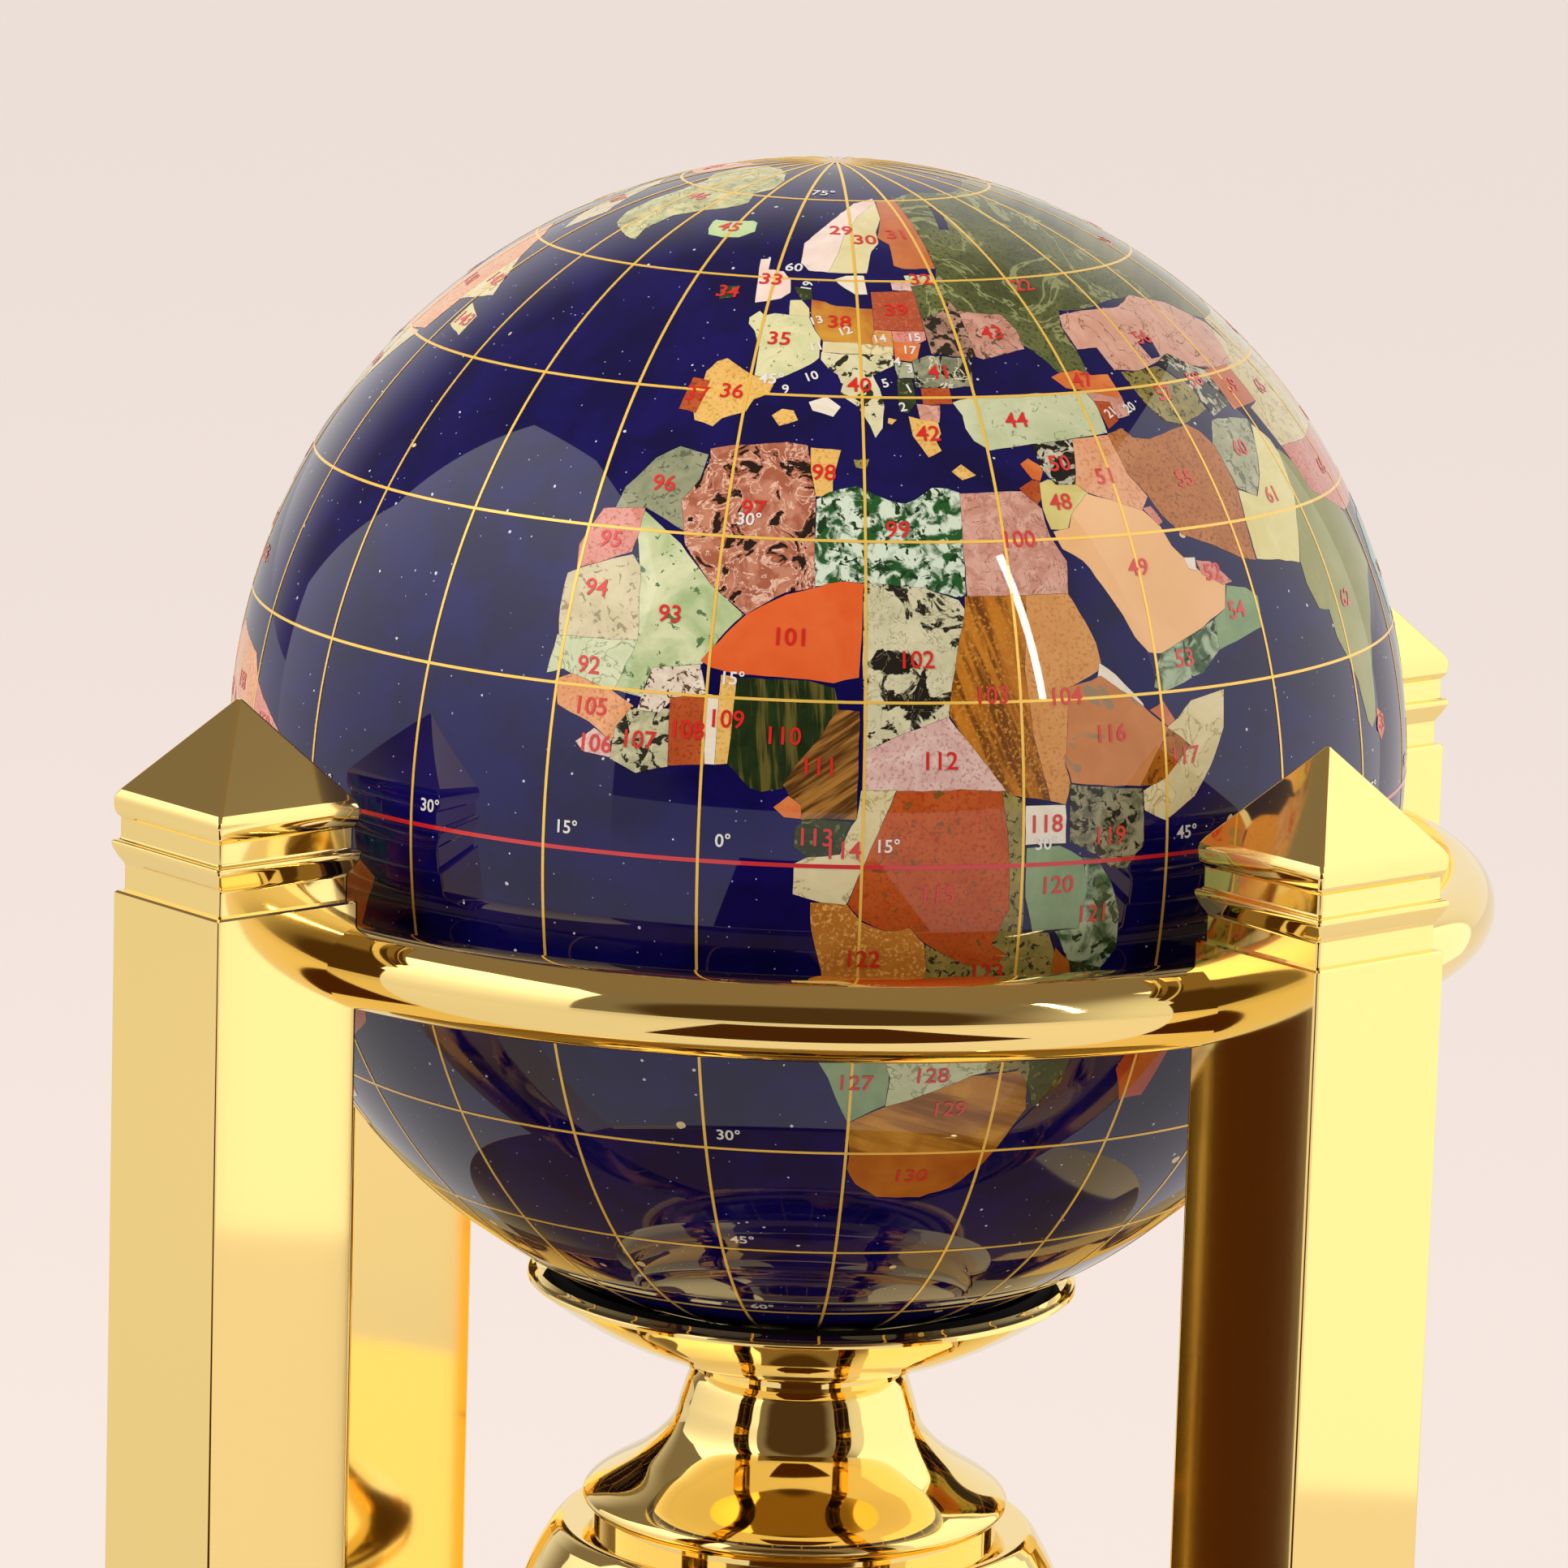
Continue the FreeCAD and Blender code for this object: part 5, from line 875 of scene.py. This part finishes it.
def inside(outline, points):
    """Which of the points lie inside an outline, by the crossing rule."""
    x, y = points[:, 0], points[:, 1]
    odd = np.zeros(len(points), bool)
    for (ax, ay), (bx, by) in zip(outline, outline[1:] + outline[:1]):
        if ay == by:
            continue
        crosses = (ay > y) != (by > y)
        odd ^= crosses & (x < ax + (y - ay) * (bx - ax) / (by - ay))
    return odd


def land_triangles():
    """Triangles of the map that follow every outline, each with its stone's index."""
    points, edges = [], []
    for _, _, _, *outlines in STONES:
        for outline in outlines:
            start = len(points)
            for (ax, ay), (bx, by) in zip(outline, outline[1:] + outline[:1]):
                parts = max(1, math.ceil(math.hypot(bx - ax, by - ay) / EDGE_STEP))
                points += [(ax + (bx - ax) * k / parts, ay + (by - ay) * k / parts)
                           for k in range(parts)]
            edges += [(i, i + 1) for i in range(start, len(points) - 1)]
            edges.append((len(points) - 1, start))
    lons = np.arange(GRID_WEST, GRID_EAST, GRID_STEP)
    lats = np.arange(GRID_SOUTH, GRID_NORTH, GRID_STEP)
    grid = np.array([(lon + GRID_SHIFT[0], lat + GRID_SHIFT[1]) for lat in lats for lon in lons])
    on_land = np.zeros(len(grid), bool)
    for _, _, _, *outlines in STONES:
        for outline in outlines:
            on_land |= inside(outline, grid)
    points += [tuple(p) for p in grid[on_land]]
    flat, _, faces, *_ = geometry.delaunay_2d_cdt([Vector(p) for p in points], edges, [], 0, 1e-4)
    flat = np.array([tuple(p) for p in flat])
    faces = np.array([f for f in faces if len(f) == 3])
    middle = flat[faces].mean(axis=1)
    owner = np.full(len(faces), -1)
    for index, (_, _, _, *outlines) in enumerate(STONES):
        for outline in outlines:
            owner[inside(outline, middle)] = index
    wander = []
    for x, y in flat * WAVE_PER_DEGREE:
        wander.append([EDGE_WAVE * noise.noise(Vector((x, y, layer))) for layer in (3.1, 8.7)])
    return flat + np.array(wander), faces, owner


def stone_mesh(flat, faces):
    """Closed stone from its map triangles: polished top, straight sides, flat underside."""
    used, local = np.unique(faces, return_inverse=True)
    tris = local.reshape(-1, 3)
    top = [Vector(on_globe(lon, lat, STONE_R)) for lon, lat in flat[used]]
    centre = Vector((0, 0, GLOBE_Z))
    a, b, c = tris[0]
    if (top[b] - top[a]).cross(top[c] - top[a]).dot(top[a] - centre) < 0:
        tris = tris[:, ::-1]
    sides = {}
    for tri in tris.tolist():
        for a, b in zip(tri, tri[1:] + tri[:1]):
            sides[(a, b)] = True
    rim = [(a, b) for a, b in sides if (b, a) not in sides]
    inward = {}
    for a, b in rim:
        normal = (top[a] - centre).cross(top[b] - top[a]).normalized()
        for v in (a, b):
            inward.setdefault(v, []).append(normal)
    for v, normals in inward.items():
        total = sum(normals, Vector())
        if total.length > 1e-6:
            unit = total.normalized()
            top[v] = top[v] + unit * (STONE_GAP / max(0.4, unit.dot(normals[0])))
            top[v] = centre + (top[v] - centre).normalized() * STONE_R
    foot = [centre + (p - centre) * (STONE_FOOT_R / STONE_R) for p in top]
    count = len(top)
    quads = [(a, a + count, b + count, b) for a, b in rim]
    faces = tris.tolist() + [[x + count for x in tri[::-1]] for tri in tris.tolist()] + quads
    return [tuple(p) for p in top + foot], faces


def make_stones(paints):
    flat, faces, owner = land_triangles()
    for index, (name, recipe, slot, *_) in enumerate(STONES):
        mine = faces[owner == index]
        if recipe == SEA or not len(mine):
            continue
        verts, polygons = stone_mesh(flat, mine)
        make_piece("stone_" + name, verts, polygons, "globe", paints[recipe],
                   radial_normals)


# ---- ocean, graticule and printed figures -------------------------------------------
def make_ocean(material):
    rows, columns = 180, 360
    verts = []
    for i in range(rows + 1):
        lat = -90 + 180 * i / rows
        if i in (0, rows):
            verts.append(on_globe(0, lat, OCEAN_R))
        else:
            verts += [on_globe(360 * k / columns, lat, OCEAN_R) for k in range(columns)]

    def at(i, k):
        if i == 0:
            return 0
        if i == rows:
            return len(verts) - 1
        return 1 + (i - 1) * columns + k % columns

    faces = []
    for i in range(rows):
        for k in range(columns):
            ring = (at(i, k), at(i, k + 1), at(i + 1, k + 1), at(i + 1, k))
            faces.append(tuple(dict.fromkeys(ring)))
    make_piece("ocean", verts, faces, "globe", material, radial_normals,
               ("ocean_north", "ocean_south"))


def tube_faces(start, rings, closed):
    """Quads between square cross-sections of four vertices each."""
    faces = []
    for k in range(rings if closed else rings - 1):
        here, there = start + 4 * k, start + 4 * ((k + 1) % rings)
        faces += [(here + i, here + (i + 1) % 4, there + (i + 1) % 4, there + i) for i in range(4)]
    if not closed:
        last = start + 4 * (rings - 1)
        faces += [(start + 3, start + 2, start + 1, start), (last, last + 1, last + 2, last + 3)]
    return faces


def parallel_band(verts, faces, lat, width):
    top = PARALLEL_R
    half = math.degrees(width / 2 / top)
    start, rings = len(verts), 360
    for k in range(rings):
        corners = ((-half, STONE_FOOT_R), (-half, top), (half, top), (half, STONE_FOOT_R))
        for offset, radius in corners:
            verts.append(on_globe(k, lat + offset, radius))
    faces += tube_faces(start, rings, True)


def meridian_band(verts, faces, lon):
    start, rings = len(verts), 200
    a = math.radians(lon + LON0_ANGLE)
    east = Vector((-math.sin(a), math.cos(a), 0))
    for k in range(rings):
        lat = WIRE_SOUTH + (WIRE_NORTH - WIRE_SOUTH) * k / (rings - 1)
        corners = ((1, STONE_FOOT_R), (1, MERIDIAN_R), (-1, MERIDIAN_R), (-1, STONE_FOOT_R))
        for side, radius in corners:
            verts.append(tuple(Vector(on_globe(lon, lat, radius)) + east * (side * WIRE_WIDTH / 2)))
    faces += tube_faces(start, rings, False)


def make_graticule(wire, red):
    verts, faces = [], []
    for lat in range(WIRE_STEP - 90, 90, WIRE_STEP):
        if lat:
            parallel_band(verts, faces, lat, WIRE_WIDTH)
    make_piece("parallels", verts, faces, "globe", wire, radial_normals, ("parallel_wires",))
    verts, faces = [], []
    for lon in range(0, 360, WIRE_STEP):
        meridian_band(verts, faces, lon)
    make_piece("meridians", verts, faces, "globe", wire, radial_normals, ("meridian_wires",))
    verts, faces = [], []
    parallel_band(verts, faces, 0, EQUATOR_WIDTH)
    make_piece("equator", verts, faces, "globe", red, radial_normals, ("equator_line",))


def printed(name, labels, height, material):
    """Flat figures on the globe's surface; a label is (text, lon, lat, tilt in degrees)."""
    verts, faces = [], []
    for text, lon, lat, tilt in labels:
        font = bpy.data.curves.new(name, "FONT")
        font.body = text
        font.size = height / CAP_SHARE
        font.align_x = "CENTER"
        font.align_y = "CENTER"
        font.extrude = PRINT_DEPTH
        font.offset = PRINT_BOLDER
        font.resolution_u = 3
        holder = bpy.data.objects.new(name, font)
        bpy.context.scene.collection.objects.link(holder)
        bpy.context.view_layer.update()
        solved = holder.evaluated_get(bpy.context.evaluated_depsgraph_get())
        flat = bpy.data.meshes.new_from_object(solved)
        bpy.data.objects.remove(holder)
        start = len(verts)
        c, s = math.cos(math.radians(tilt)), math.sin(math.radians(tilt))
        per_degree = math.radians(PRINT_R)
        for v in flat.vertices:
            x, y = v.co.x * c - v.co.y * s, v.co.x * s + v.co.y * c
            east = x / (per_degree * math.cos(math.radians(lat)))
            verts.append(on_globe(lon + east, lat + y / per_degree, PRINT_R + v.co.z))
        faces += [tuple(start + i for i in face.vertices) for face in flat.polygons]
        bpy.data.meshes.remove(flat)
    make_piece(name, verts, faces, "globe", material, radial_normals)


# Stones too small for an index figure, or marked by one of Europe's figures.
SKIP_INDEX = {
    "balearics", "corsica", "bohemia", "slovakia", "hungary", "austria", "croatia", "serbia", "sicily",
    "corfu", "crete", "denmark", "baltic_islet", "low_countries", "north_sea_coast", "togo",
    "guinea_coast", "qatar", "armenia", "azerbaijan", "ogaden", "djibouti", "congo_rim", "eritrea",
    "macedonia", "bulgaria", "ukraine_west", "burkina_faso", "kuwait", "lebanon", "levant",
}
EUROPE_FIGURES = [
    ("13", 8.3, 54.2, 20), ("12", 12.8, 52.9, 22), ("14", 18, 52, 8), ("15", 23.3, 52.2, 0),
    ("11", 8.6, 50.8, 20), ("17", 22.2, 50.6, -4), ("3", 21.8, 48.3, 0), ("1", 21.3, 46, 20),
    ("2", 20.2, 43.9, 10), ("5", 18.2, 46.6, 14), ("10", 8.2, 47.2, 22), ("9", 5, 45.6, 16),
    ("4", 20.2, 49.2, 0), ("19", 6.2, 59, 80), ("20", 52.3, 42.8, 18), ("21", 48.9, 42.5, 24),
]
FIRST_INDEX = 22                    # the lower ones stand in Europe
ANTARCTIC_LAT = -55
FIGURE_SHIFT = 2.3                  # degrees from a wire to the middle of its degree figure
EQUATOR_RISE, MERIDIAN_RISE = 1.9, 1.7    # degrees from a parallel up to the figure's middle
DEGREE_HEIGHT, EUROPE_HEIGHT, INDEX_HEIGHT = 1.55, 1.25, 2.1


def make_figures(white, red):
    """Degree figures by the equator and the zero meridian, then index figures on the stones."""
    degrees = []
    for lon in range(WIRE_STEP - 180, 181, WIRE_STEP):
        degrees.append(("%d°" % abs(lon), lon + FIGURE_SHIFT, EQUATOR_RISE, 0))
    for lat in (15, 30, 45, 60, 75, -15, -30, -45, -60):
        shift = FIGURE_SHIFT / math.cos(math.radians(lat)) ** 0.7
        degrees.append(("%d°" % abs(lat), shift, lat + MERIDIAN_RISE, 0))
    printed("degree_figures", degrees, DEGREE_HEIGHT, white)
    printed("europe_figures", EUROPE_FIGURES, EUROPE_HEIGHT, white)
    index = []
    for name, recipe, _, outline, *_ in STONES:
        if recipe == SEA or name in SKIP_INDEX or outline[0][1] < ANTARCTIC_LAT:
            continue
        ring = np.array(outline)
        index.append((str(FIRST_INDEX + len(index)), ring[:, 0].mean(), ring[:, 1].mean(), 0))
    printed("index_figures", index, INDEX_HEIGHT, red)


# ---- polished stand -----------------------------------------------------------------
def turned_piece(name, outline, gold, node, **how):
    lathe(name, outline, gold, "gold_plate", (node,), **how)


def make_base(gold):
    base = soften([(107.0, BASE_TOP), (109.0, BASE_TOP), (109.0, 24.0)], 1.6, 6)
    base += curve([(109.0, 24.0), (110.4, 19.2), (113.4, 15.4), (116.0, 14.0)])[1:]
    base += soften([(116.0, 14.0), (118.0, 13.4), (118.0, BASE_LOW), (116.0, BASE_LOW)], 1.4, 6)[1:]
    base += [(114.0, BASE_LOW), (114.0, 11.0), (106.0, 17.0), (106.0, BASE_UNDER)]
    base += [(BORE_R, BASE_UNDER), (BORE_R, BASE_TOP)]
    turned_piece("base", base, gold, "base_plate")


def make_pedestal(gold):
    dome = soften([(BORE_R, DOME_TOP), (30.4, DOME_TOP), (31.6, 67.0)], 1.2, 6)
    dome += curve([(31.6, 67.0), (33.8, 63.0), (35.6, 58.0), (37.4, 51.0), (39.4, 44.0), (41.9, 37.4),
                   (46.0, 32.6), (50.2, 30.3)])[1:]
    dome += soften([(50.2, 30.3), (51.4, 30.0), (51.5, BASE_TOP), (43.0, BASE_TOP)], 0.5, 5)[1:]
    dome += [(38.6, 35.4), (36.0, 44.0), (28.0, 65.9), (BORE_R, 65.9)]
    turned_piece("dome", dome, gold, "pedestal_dome")

    neck = [(BORE_R, NECK_TOP), (13.4, NECK_TOP)]
    neck += curve([(13.6, NECK_TOP), (14.3, 87.8), (15.2, 85.0), (16.5, 81.2), (20.4, 77.2),
                   (26.0, 73.6), (27.6, 71.9), (27.0, 70.7), (26.2, 70.2)])
    neck += [(26.2, DOME_TOP), (23.0, DOME_TOP), (23.0, 72.4), (17.6, 76.6), (13.8, 80.8), (12.2, 86.5)]
    neck += [(BORE_R, 86.5)]
    turned_piece("neck", neck, gold, "pedestal_neck")


def make_bowl(gold):
    bowl_r, rim_r, rim_z, wall = 57.6, 35.5, 100.9, 1.8
    centre_z = rim_z + math.sqrt(bowl_r ** 2 - rim_r ** 2)

    def arc(radius, first, last, steps=24):
        spread = [first + (last - first) * k / steps for k in range(steps + 1)]
        return [(r, centre_z - math.sqrt(radius ** 2 - r ** 2)) for r in spread]

    dish = [(BORE_R, NECK_TOP), (12.6, NECK_TOP), (12.6, 89.9)] + arc(bowl_r, 14.5, rim_r)
    inner = arc(bowl_r - wall, rim_r - 1.1, 9.6)
    dish += curve([dish[-1], (rim_r - 0.1, rim_z + 0.6), (rim_r - 0.6, rim_z + 0.9), inner[0]], 5)[1:-1]
    dish += inner + [(BORE_R, 91.4)]
    turned_piece("bowl", dish, gold, "dish")


def make_ring(gold):
    ring_r, tube_r, ring_z, count = 81.9, 5.13, 154.0, 64
    tube = []
    for k in range(count):
        a = 2 * math.pi * k / count
        tube.append((ring_r + tube_r * math.cos(a), ring_z - tube_r * math.sin(a)))
    turned_piece("globe_ring", tube, gold, "ring", segments=360)


def make_pillars(gold, gold_face):
    """Pillar and finial, each from half widths and heights, at the four corners."""
    half, bevel = PILLAR_HALF, 0.25
    shaft = [(half - bevel, BASE_TOP), (half, BASE_TOP + bevel), (half, PILLAR_TOP - bevel),
             (half - bevel, PILLAR_TOP)]
    waist = half - 0.9
    cap = [(waist, 0.0)] + soften([(waist, 0.0), (waist, 3.25), (half - 0.3, 4.2), (half + 0.3, 5.5),
                                   (half + 0.3, 6.2), (half - 0.5, 6.35), (half - 0.5, 9.0)], 0.35)[1:]
    cap += curve([(half - 0.5, 9.0), (half - 0.05, 9.6), (half + 0.12, 10.6), (half + 0.05, 11.6),
                  (half - 0.45, 12.5)], 6)[1:]
    cap += soften([(half - 0.45, 12.5), (0.5, 23.9), (0.3, 24.1)], 0.4)[1:]
    cap = [(reach, PILLAR_TOP + z) for reach, z in cap]
    for name, angle in PILLAR_ANGLES.items():
        square_column("column_" + name, shaft, angle, gold_face, ("pillar_" + name,))
        square_column("cap_" + name, cap, angle, gold, ("finial_" + name,))


# ---- inner and dark hardware --------------------------------------------------------
def paint_cad_nodes(paints):
    """The CAD pieces that keep their own mesh take plain materials."""
    finish = {
        "steel": ("tie_rod", "rod_washer", "rod_nut", "pillar_bolts", "pillar_washers", "cover_screws",
                  "ring_screws", "pillar_plug_fl", "pillar_plug_fr", "pillar_plug_rr", "pillar_plug_rl"),
        "cover": ("base_cover",),
        "felt": ("dish_felt",),
        "rubber": ("foot_fl", "foot_fr", "foot_rr", "foot_rl"),
        "nylon": ("thrust_washer",),
        "resin": ("core_north", "core_south", "core_band"),
        "brass": ("globe_hub", "pole_stud"),
        "bronze": ("hub_bush",),
    }
    for paint, names in finish.items():
        for name in names:
            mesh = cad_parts[name].data
            mesh.materials.clear()
            mesh.materials.append(paints[paint])


# One stone of each continent stands for the CAD inlay of the whole continent.
INLAYS = {
    "inlay_africa": "libya", "inlay_madagascar": "madagascar", "inlay_europe": "france",
    "inlay_scandinavia": "sweden", "inlay_british_isles": "britain", "inlay_iceland": "iceland",
    "inlay_greenland": "greenland", "inlay_asia": "russia", "inlay_arabia": "saudi_arabia",
    "inlay_japan": "japan_south", "inlay_sunda_islands": "borneo", "inlay_australia": "west_australia",
    "inlay_new_zealand": "new_zealand", "inlay_north_america": "prairies", "inlay_caribbean": "cuba",
    "inlay_south_america": "amazonia", "inlay_antarctica": "queen_maud_land",
}


def build():
    paints = {name: stone_paint("stone_" + name, 1.0 + 0.37 * i, **recipe)
              for i, (name, recipe) in enumerate(RECIPES.items())}
    make_ocean(lapis_paint())
    make_stones(paints)
    for node, stone in INLAYS.items():
        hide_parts(node)
    make_graticule(plain_paint("wire_gold", (248, 204, 92), 0.4, metallic=0.3, coat=0.6),
                   plain_paint("red_line", (206, 28, 44), 0.3, coat=1.0))
    make_figures(plain_paint("white_print", (226, 226, 226), 0.35, coat=1.0),
                 plain_paint("red_print", (208, 30, 26), 0.35, coat=1.0))
    gold = gold_paint("gold_turned", 0.045)
    gold_face = gold_paint("gold_face", 0.06, streak=True)
    for make in (make_base, make_pedestal, make_bowl, make_ring):
        make(gold)
    make_pillars(gold, gold_face)
    paint_cad_nodes({
        "steel": plain_paint("steel", (190, 190, 192), 0.3, 1.0),
        "cover": plain_paint("black_cover", (22, 22, 24), 0.6),
        "felt": plain_paint("black_felt", (18, 18, 20), 0.95),
        "rubber": plain_paint("black_rubber", (20, 20, 20), 0.75),
        "nylon": plain_paint("nylon", (226, 224, 214), 0.45),
        "resin": plain_paint("core_resin", (70, 64, 60), 0.6),
        "brass": plain_paint("brass", (222, 184, 104), 0.2, 1.0),
        "bronze": plain_paint("bronze", (150, 104, 62), 0.35, 1.0),
    })


# ---- studio -------------------------------------------------------------------------
TARGET = Vector((0, 0, GLOBE_Z)) * MM


def toward(azimuth, elevation):
    """Unit vector; azimuth 0 is the front (-Y) and grows toward +X."""
    a, e = math.radians(azimuth), math.radians(elevation)
    return Vector((math.sin(a) * math.cos(e), -math.cos(a) * math.cos(e), math.sin(e)))


def softbox(name, azimuth, elevation, distance, width, height, watts, tint, roll=0.0):
    """Area lamp that looks at the globe from a direction."""
    lamp = bpy.data.lights.new(name, "AREA")
    lamp.shape = "RECTANGLE"
    lamp.size, lamp.size_y = width, height
    lamp.energy = watts
    lamp.color = linear(tint)[:3]
    holder = bpy.data.objects.new(name, lamp)
    bpy.context.scene.collection.objects.link(holder)
    way = toward(azimuth, elevation)
    holder.location = TARGET + way * distance
    turn = way.to_track_quat("Z", "Y").to_matrix() @ Matrix.Rotation(math.radians(roll), 3, "Z")
    holder.rotation_euler = turn.to_euler()
    return holder


# Azimuth, elevation, angles where a patch ends and where it has faded out, linear colour:
# bright behind and on the right, dark overhead and around the camera.
SURROUNDINGS = (
    (180, 5, 25, 55, (0.92, 0.88, 0.83, 1)),
    (85, 5, 20, 50, (0.85, 0.81, 0.74, 1)),
    (0, 80, 20, 50, (0.24, 0.18, 0.12, 1)),
    (4, 14, 25, 33, (0.07, 0.04, 0.02, 1)),
)
ROOM = (0.22, 0.18, 0.14, 1)
BACKDROP = (0.871, 0.776, 0.708, 1)    # what the camera itself sees


def make_world():
    """Surroundings that polished pieces mirror, behind an even backdrop for the camera."""
    world = bpy.data.worlds.new("studio")
    world.use_nodes = True
    bpy.context.scene.world = world
    tree = world.node_tree
    nodes, links = tree.nodes, tree.links
    back = nodes["Background"]
    coords = nodes.new("ShaderNodeTexCoord")

    def near(direction, inner, outer):
        """1 within the inner angle of a direction, 0 beyond the outer one."""
        dot = nodes.new("ShaderNodeVectorMath")
        dot.operation = "DOT_PRODUCT"
        links.new(coords.outputs["Generated"], dot.inputs[0])
        dot.inputs[1].default_value = direction
        ease = nodes.new("ShaderNodeMapRange")
        ease.interpolation_type = "SMOOTHSTEP"
        ease.inputs["From Min"].default_value = math.cos(math.radians(outer))
        ease.inputs["From Max"].default_value = math.cos(math.radians(inner))
        links.new(dot.outputs["Value"], ease.inputs["Value"])
        return ease.outputs["Result"]

    def over(below, factor, tone):
        mix = nodes.new("ShaderNodeMix")
        mix.data_type = "RGBA"
        links.new(factor, mix.inputs["Factor"])
        if isinstance(below, tuple):
            mix.inputs[6].default_value = below
        else:
            links.new(below, mix.inputs[6])
        mix.inputs[7].default_value = tone
        return mix.outputs[2]

    tone = ROOM
    for azimuth, elevation, inner, outer, patch in SURROUNDINGS:
        tone = over(tone, near(toward(azimuth, elevation), inner, outer), patch)
    seen = nodes.new("ShaderNodeLightPath")
    tone = over(tone, seen.outputs["Is Camera Ray"], BACKDROP)
    links.new(tone, back.inputs["Color"])
    back.inputs["Strength"].default_value = 1.0


def make_floor():
    """Pale floor that glows a little, so it stays even far from the lamps; to all rays but the camera's,
    its glow is brighter toward +X, painted light for the stand's right-hand faces to mirror.
    """
    mesh = bpy.data.meshes.new("floor")
    reach = 6.0
    corners = [(-reach, -reach, 0), (reach, -reach, 0), (reach, reach, 0), (-reach, reach, 0)]
    mesh.from_pydata(corners, [], [(0, 1, 2, 3)])
    floor = bpy.data.objects.new("floor", mesh)
    bpy.context.scene.collection.objects.link(floor)
    paint = Paint("floor", rough=0.9)
    paint.colour((112, 106, 102))
    paint.set(paint.shader, Specular_IOR_Level=0.1, Emission_Strength=1.0)
    split = paint.add("ShaderNodeSeparateXYZ")
    paint.link(paint.add("ShaderNodeTexCoord").outputs["Object"], split.inputs["Vector"])
    # painted light: the glow brightens toward +X, so the right-hand faces of the pillars mirror a
    # brighter floor
    right_glow_share = paint.ramp(split.outputs["X"], -0.25, 0.25)
    glow = paint.mix(right_glow_share, (204, 202, 198), (222, 216, 212))
    seen = paint.add("ShaderNodeLightPath").outputs["Is Camera Ray"]
    paint.link(paint.mix(seen, glow, (226, 214, 208)), paint.shader.inputs["Emission Color"])
    mesh.materials.append(paint.mat)


def mirrored_only(name, corners, low, high, strength):
    """Sheet of light or shade that only polished metal and lacquer mirror."""
    mesh = bpy.data.meshes.new(name)
    mesh.from_pydata(corners, [], [tuple(range(len(corners)))])
    sheet = bpy.data.objects.new(name, mesh)
    bpy.context.scene.collection.objects.link(sheet)
    paint = Paint(name, rough=1.0)
    paint.colour((0, 0, 0))
    paint.set(paint.shader, Specular_IOR_Level=0.0, Emission_Strength=strength)
    split = paint.add("ShaderNodeSeparateXYZ")
    paint.link(paint.add("ShaderNodeTexCoord").outputs["Object"], split.inputs["Vector"])
    rise = paint.ramp(split.outputs["Z"], 0.0, 1.1)
    paint.link(paint.mix(rise, low, high), paint.shader.inputs["Emission Color"])
    mesh.materials.append(paint.mat)
    sheet.visible_camera = False
    sheet.visible_diffuse = False
    sheet.visible_shadow = False


def make_sheets():
    """Large softbox left, smaller one right, and painted shade in front: a dim sheet on the floor that
    only polished pieces mirror.
    """
    out = toward(-70, 0) * 0.9
    along = Vector((math.cos(math.radians(-70)), math.sin(math.radians(-70)), 0))
    outline = [(0.66, 0.001), (0.66, 0.99), (0.47, 1.18), (0.0, 1.28), (-0.42, 1.20), (-0.70, 0.66),
               (-1.20, 0.34), (-1.20, 0.001)]
    left = [tuple(out + along * u + Vector((0, 0, z))) for u, z in outline]
    mirrored_only("softbox_left", left, (176, 172, 168), (255, 252, 248), 1.9)
    right = [(0.40, -0.15, 0.002), (0.40, 0.45, 0.002), (0.40, 0.45, 0.60), (0.40, -0.15, 0.60)]
    mirrored_only("softbox_right", right, (236, 232, 224), (255, 252, 246), 1.5)
    # painted shade: this dim brown sheet stands in for the shade in front of the stand, and the gold
    # faces turned toward the camera mirror it as dark streaks
    front = [(-0.16, -0.95, 0.001), (0.26, -0.95, 0.001), (0.16, -0.20, 0.001), (-0.08, -0.20, 0.001)]
    mirrored_only("front_shade", front, (124, 72, 34), (124, 72, 34), 0.3)


def make_camera():
    """Camera fitted to the globe's outline, the ring and the pillars in the photo."""
    data = bpy.data.cameras.new("camera")
    data.lens = 185.9
    data.sensor_width = 36.0
    data.clip_end = 50.0
    camera = bpy.data.objects.new("camera", data)
    bpy.context.scene.collection.objects.link(camera)
    camera.location = Vector((70.6, -1012.4, 369.2)) * MM
    ahead = Vector((-0.07226, 0.97784, -0.19651))
    turn = ahead.to_track_quat("-Z", "Y").to_matrix() @ Matrix.Rotation(math.radians(1.73), 3, "Z")
    camera.rotation_euler = turn.to_euler()
    bpy.context.scene.camera = camera


build()
make_world()
make_floor()
make_sheets()
# azimuth, elevation, distance, width, height, watts, tint, roll
softbox("key", -66, 41, 1.2, 0.62, 0.52, 14.0, (255, 250, 242), 8).visible_glossy = False
softbox("strip", 48, 30, 1.2, 0.03, 0.55, 1.3, (255, 250, 244))
softbox("fill", 75, 35, 1.6, 1.2, 1.0, 9.5, (255, 246, 236)).visible_glossy = False
make_camera()
bpy.context.scene.view_settings.view_transform = "Standard"
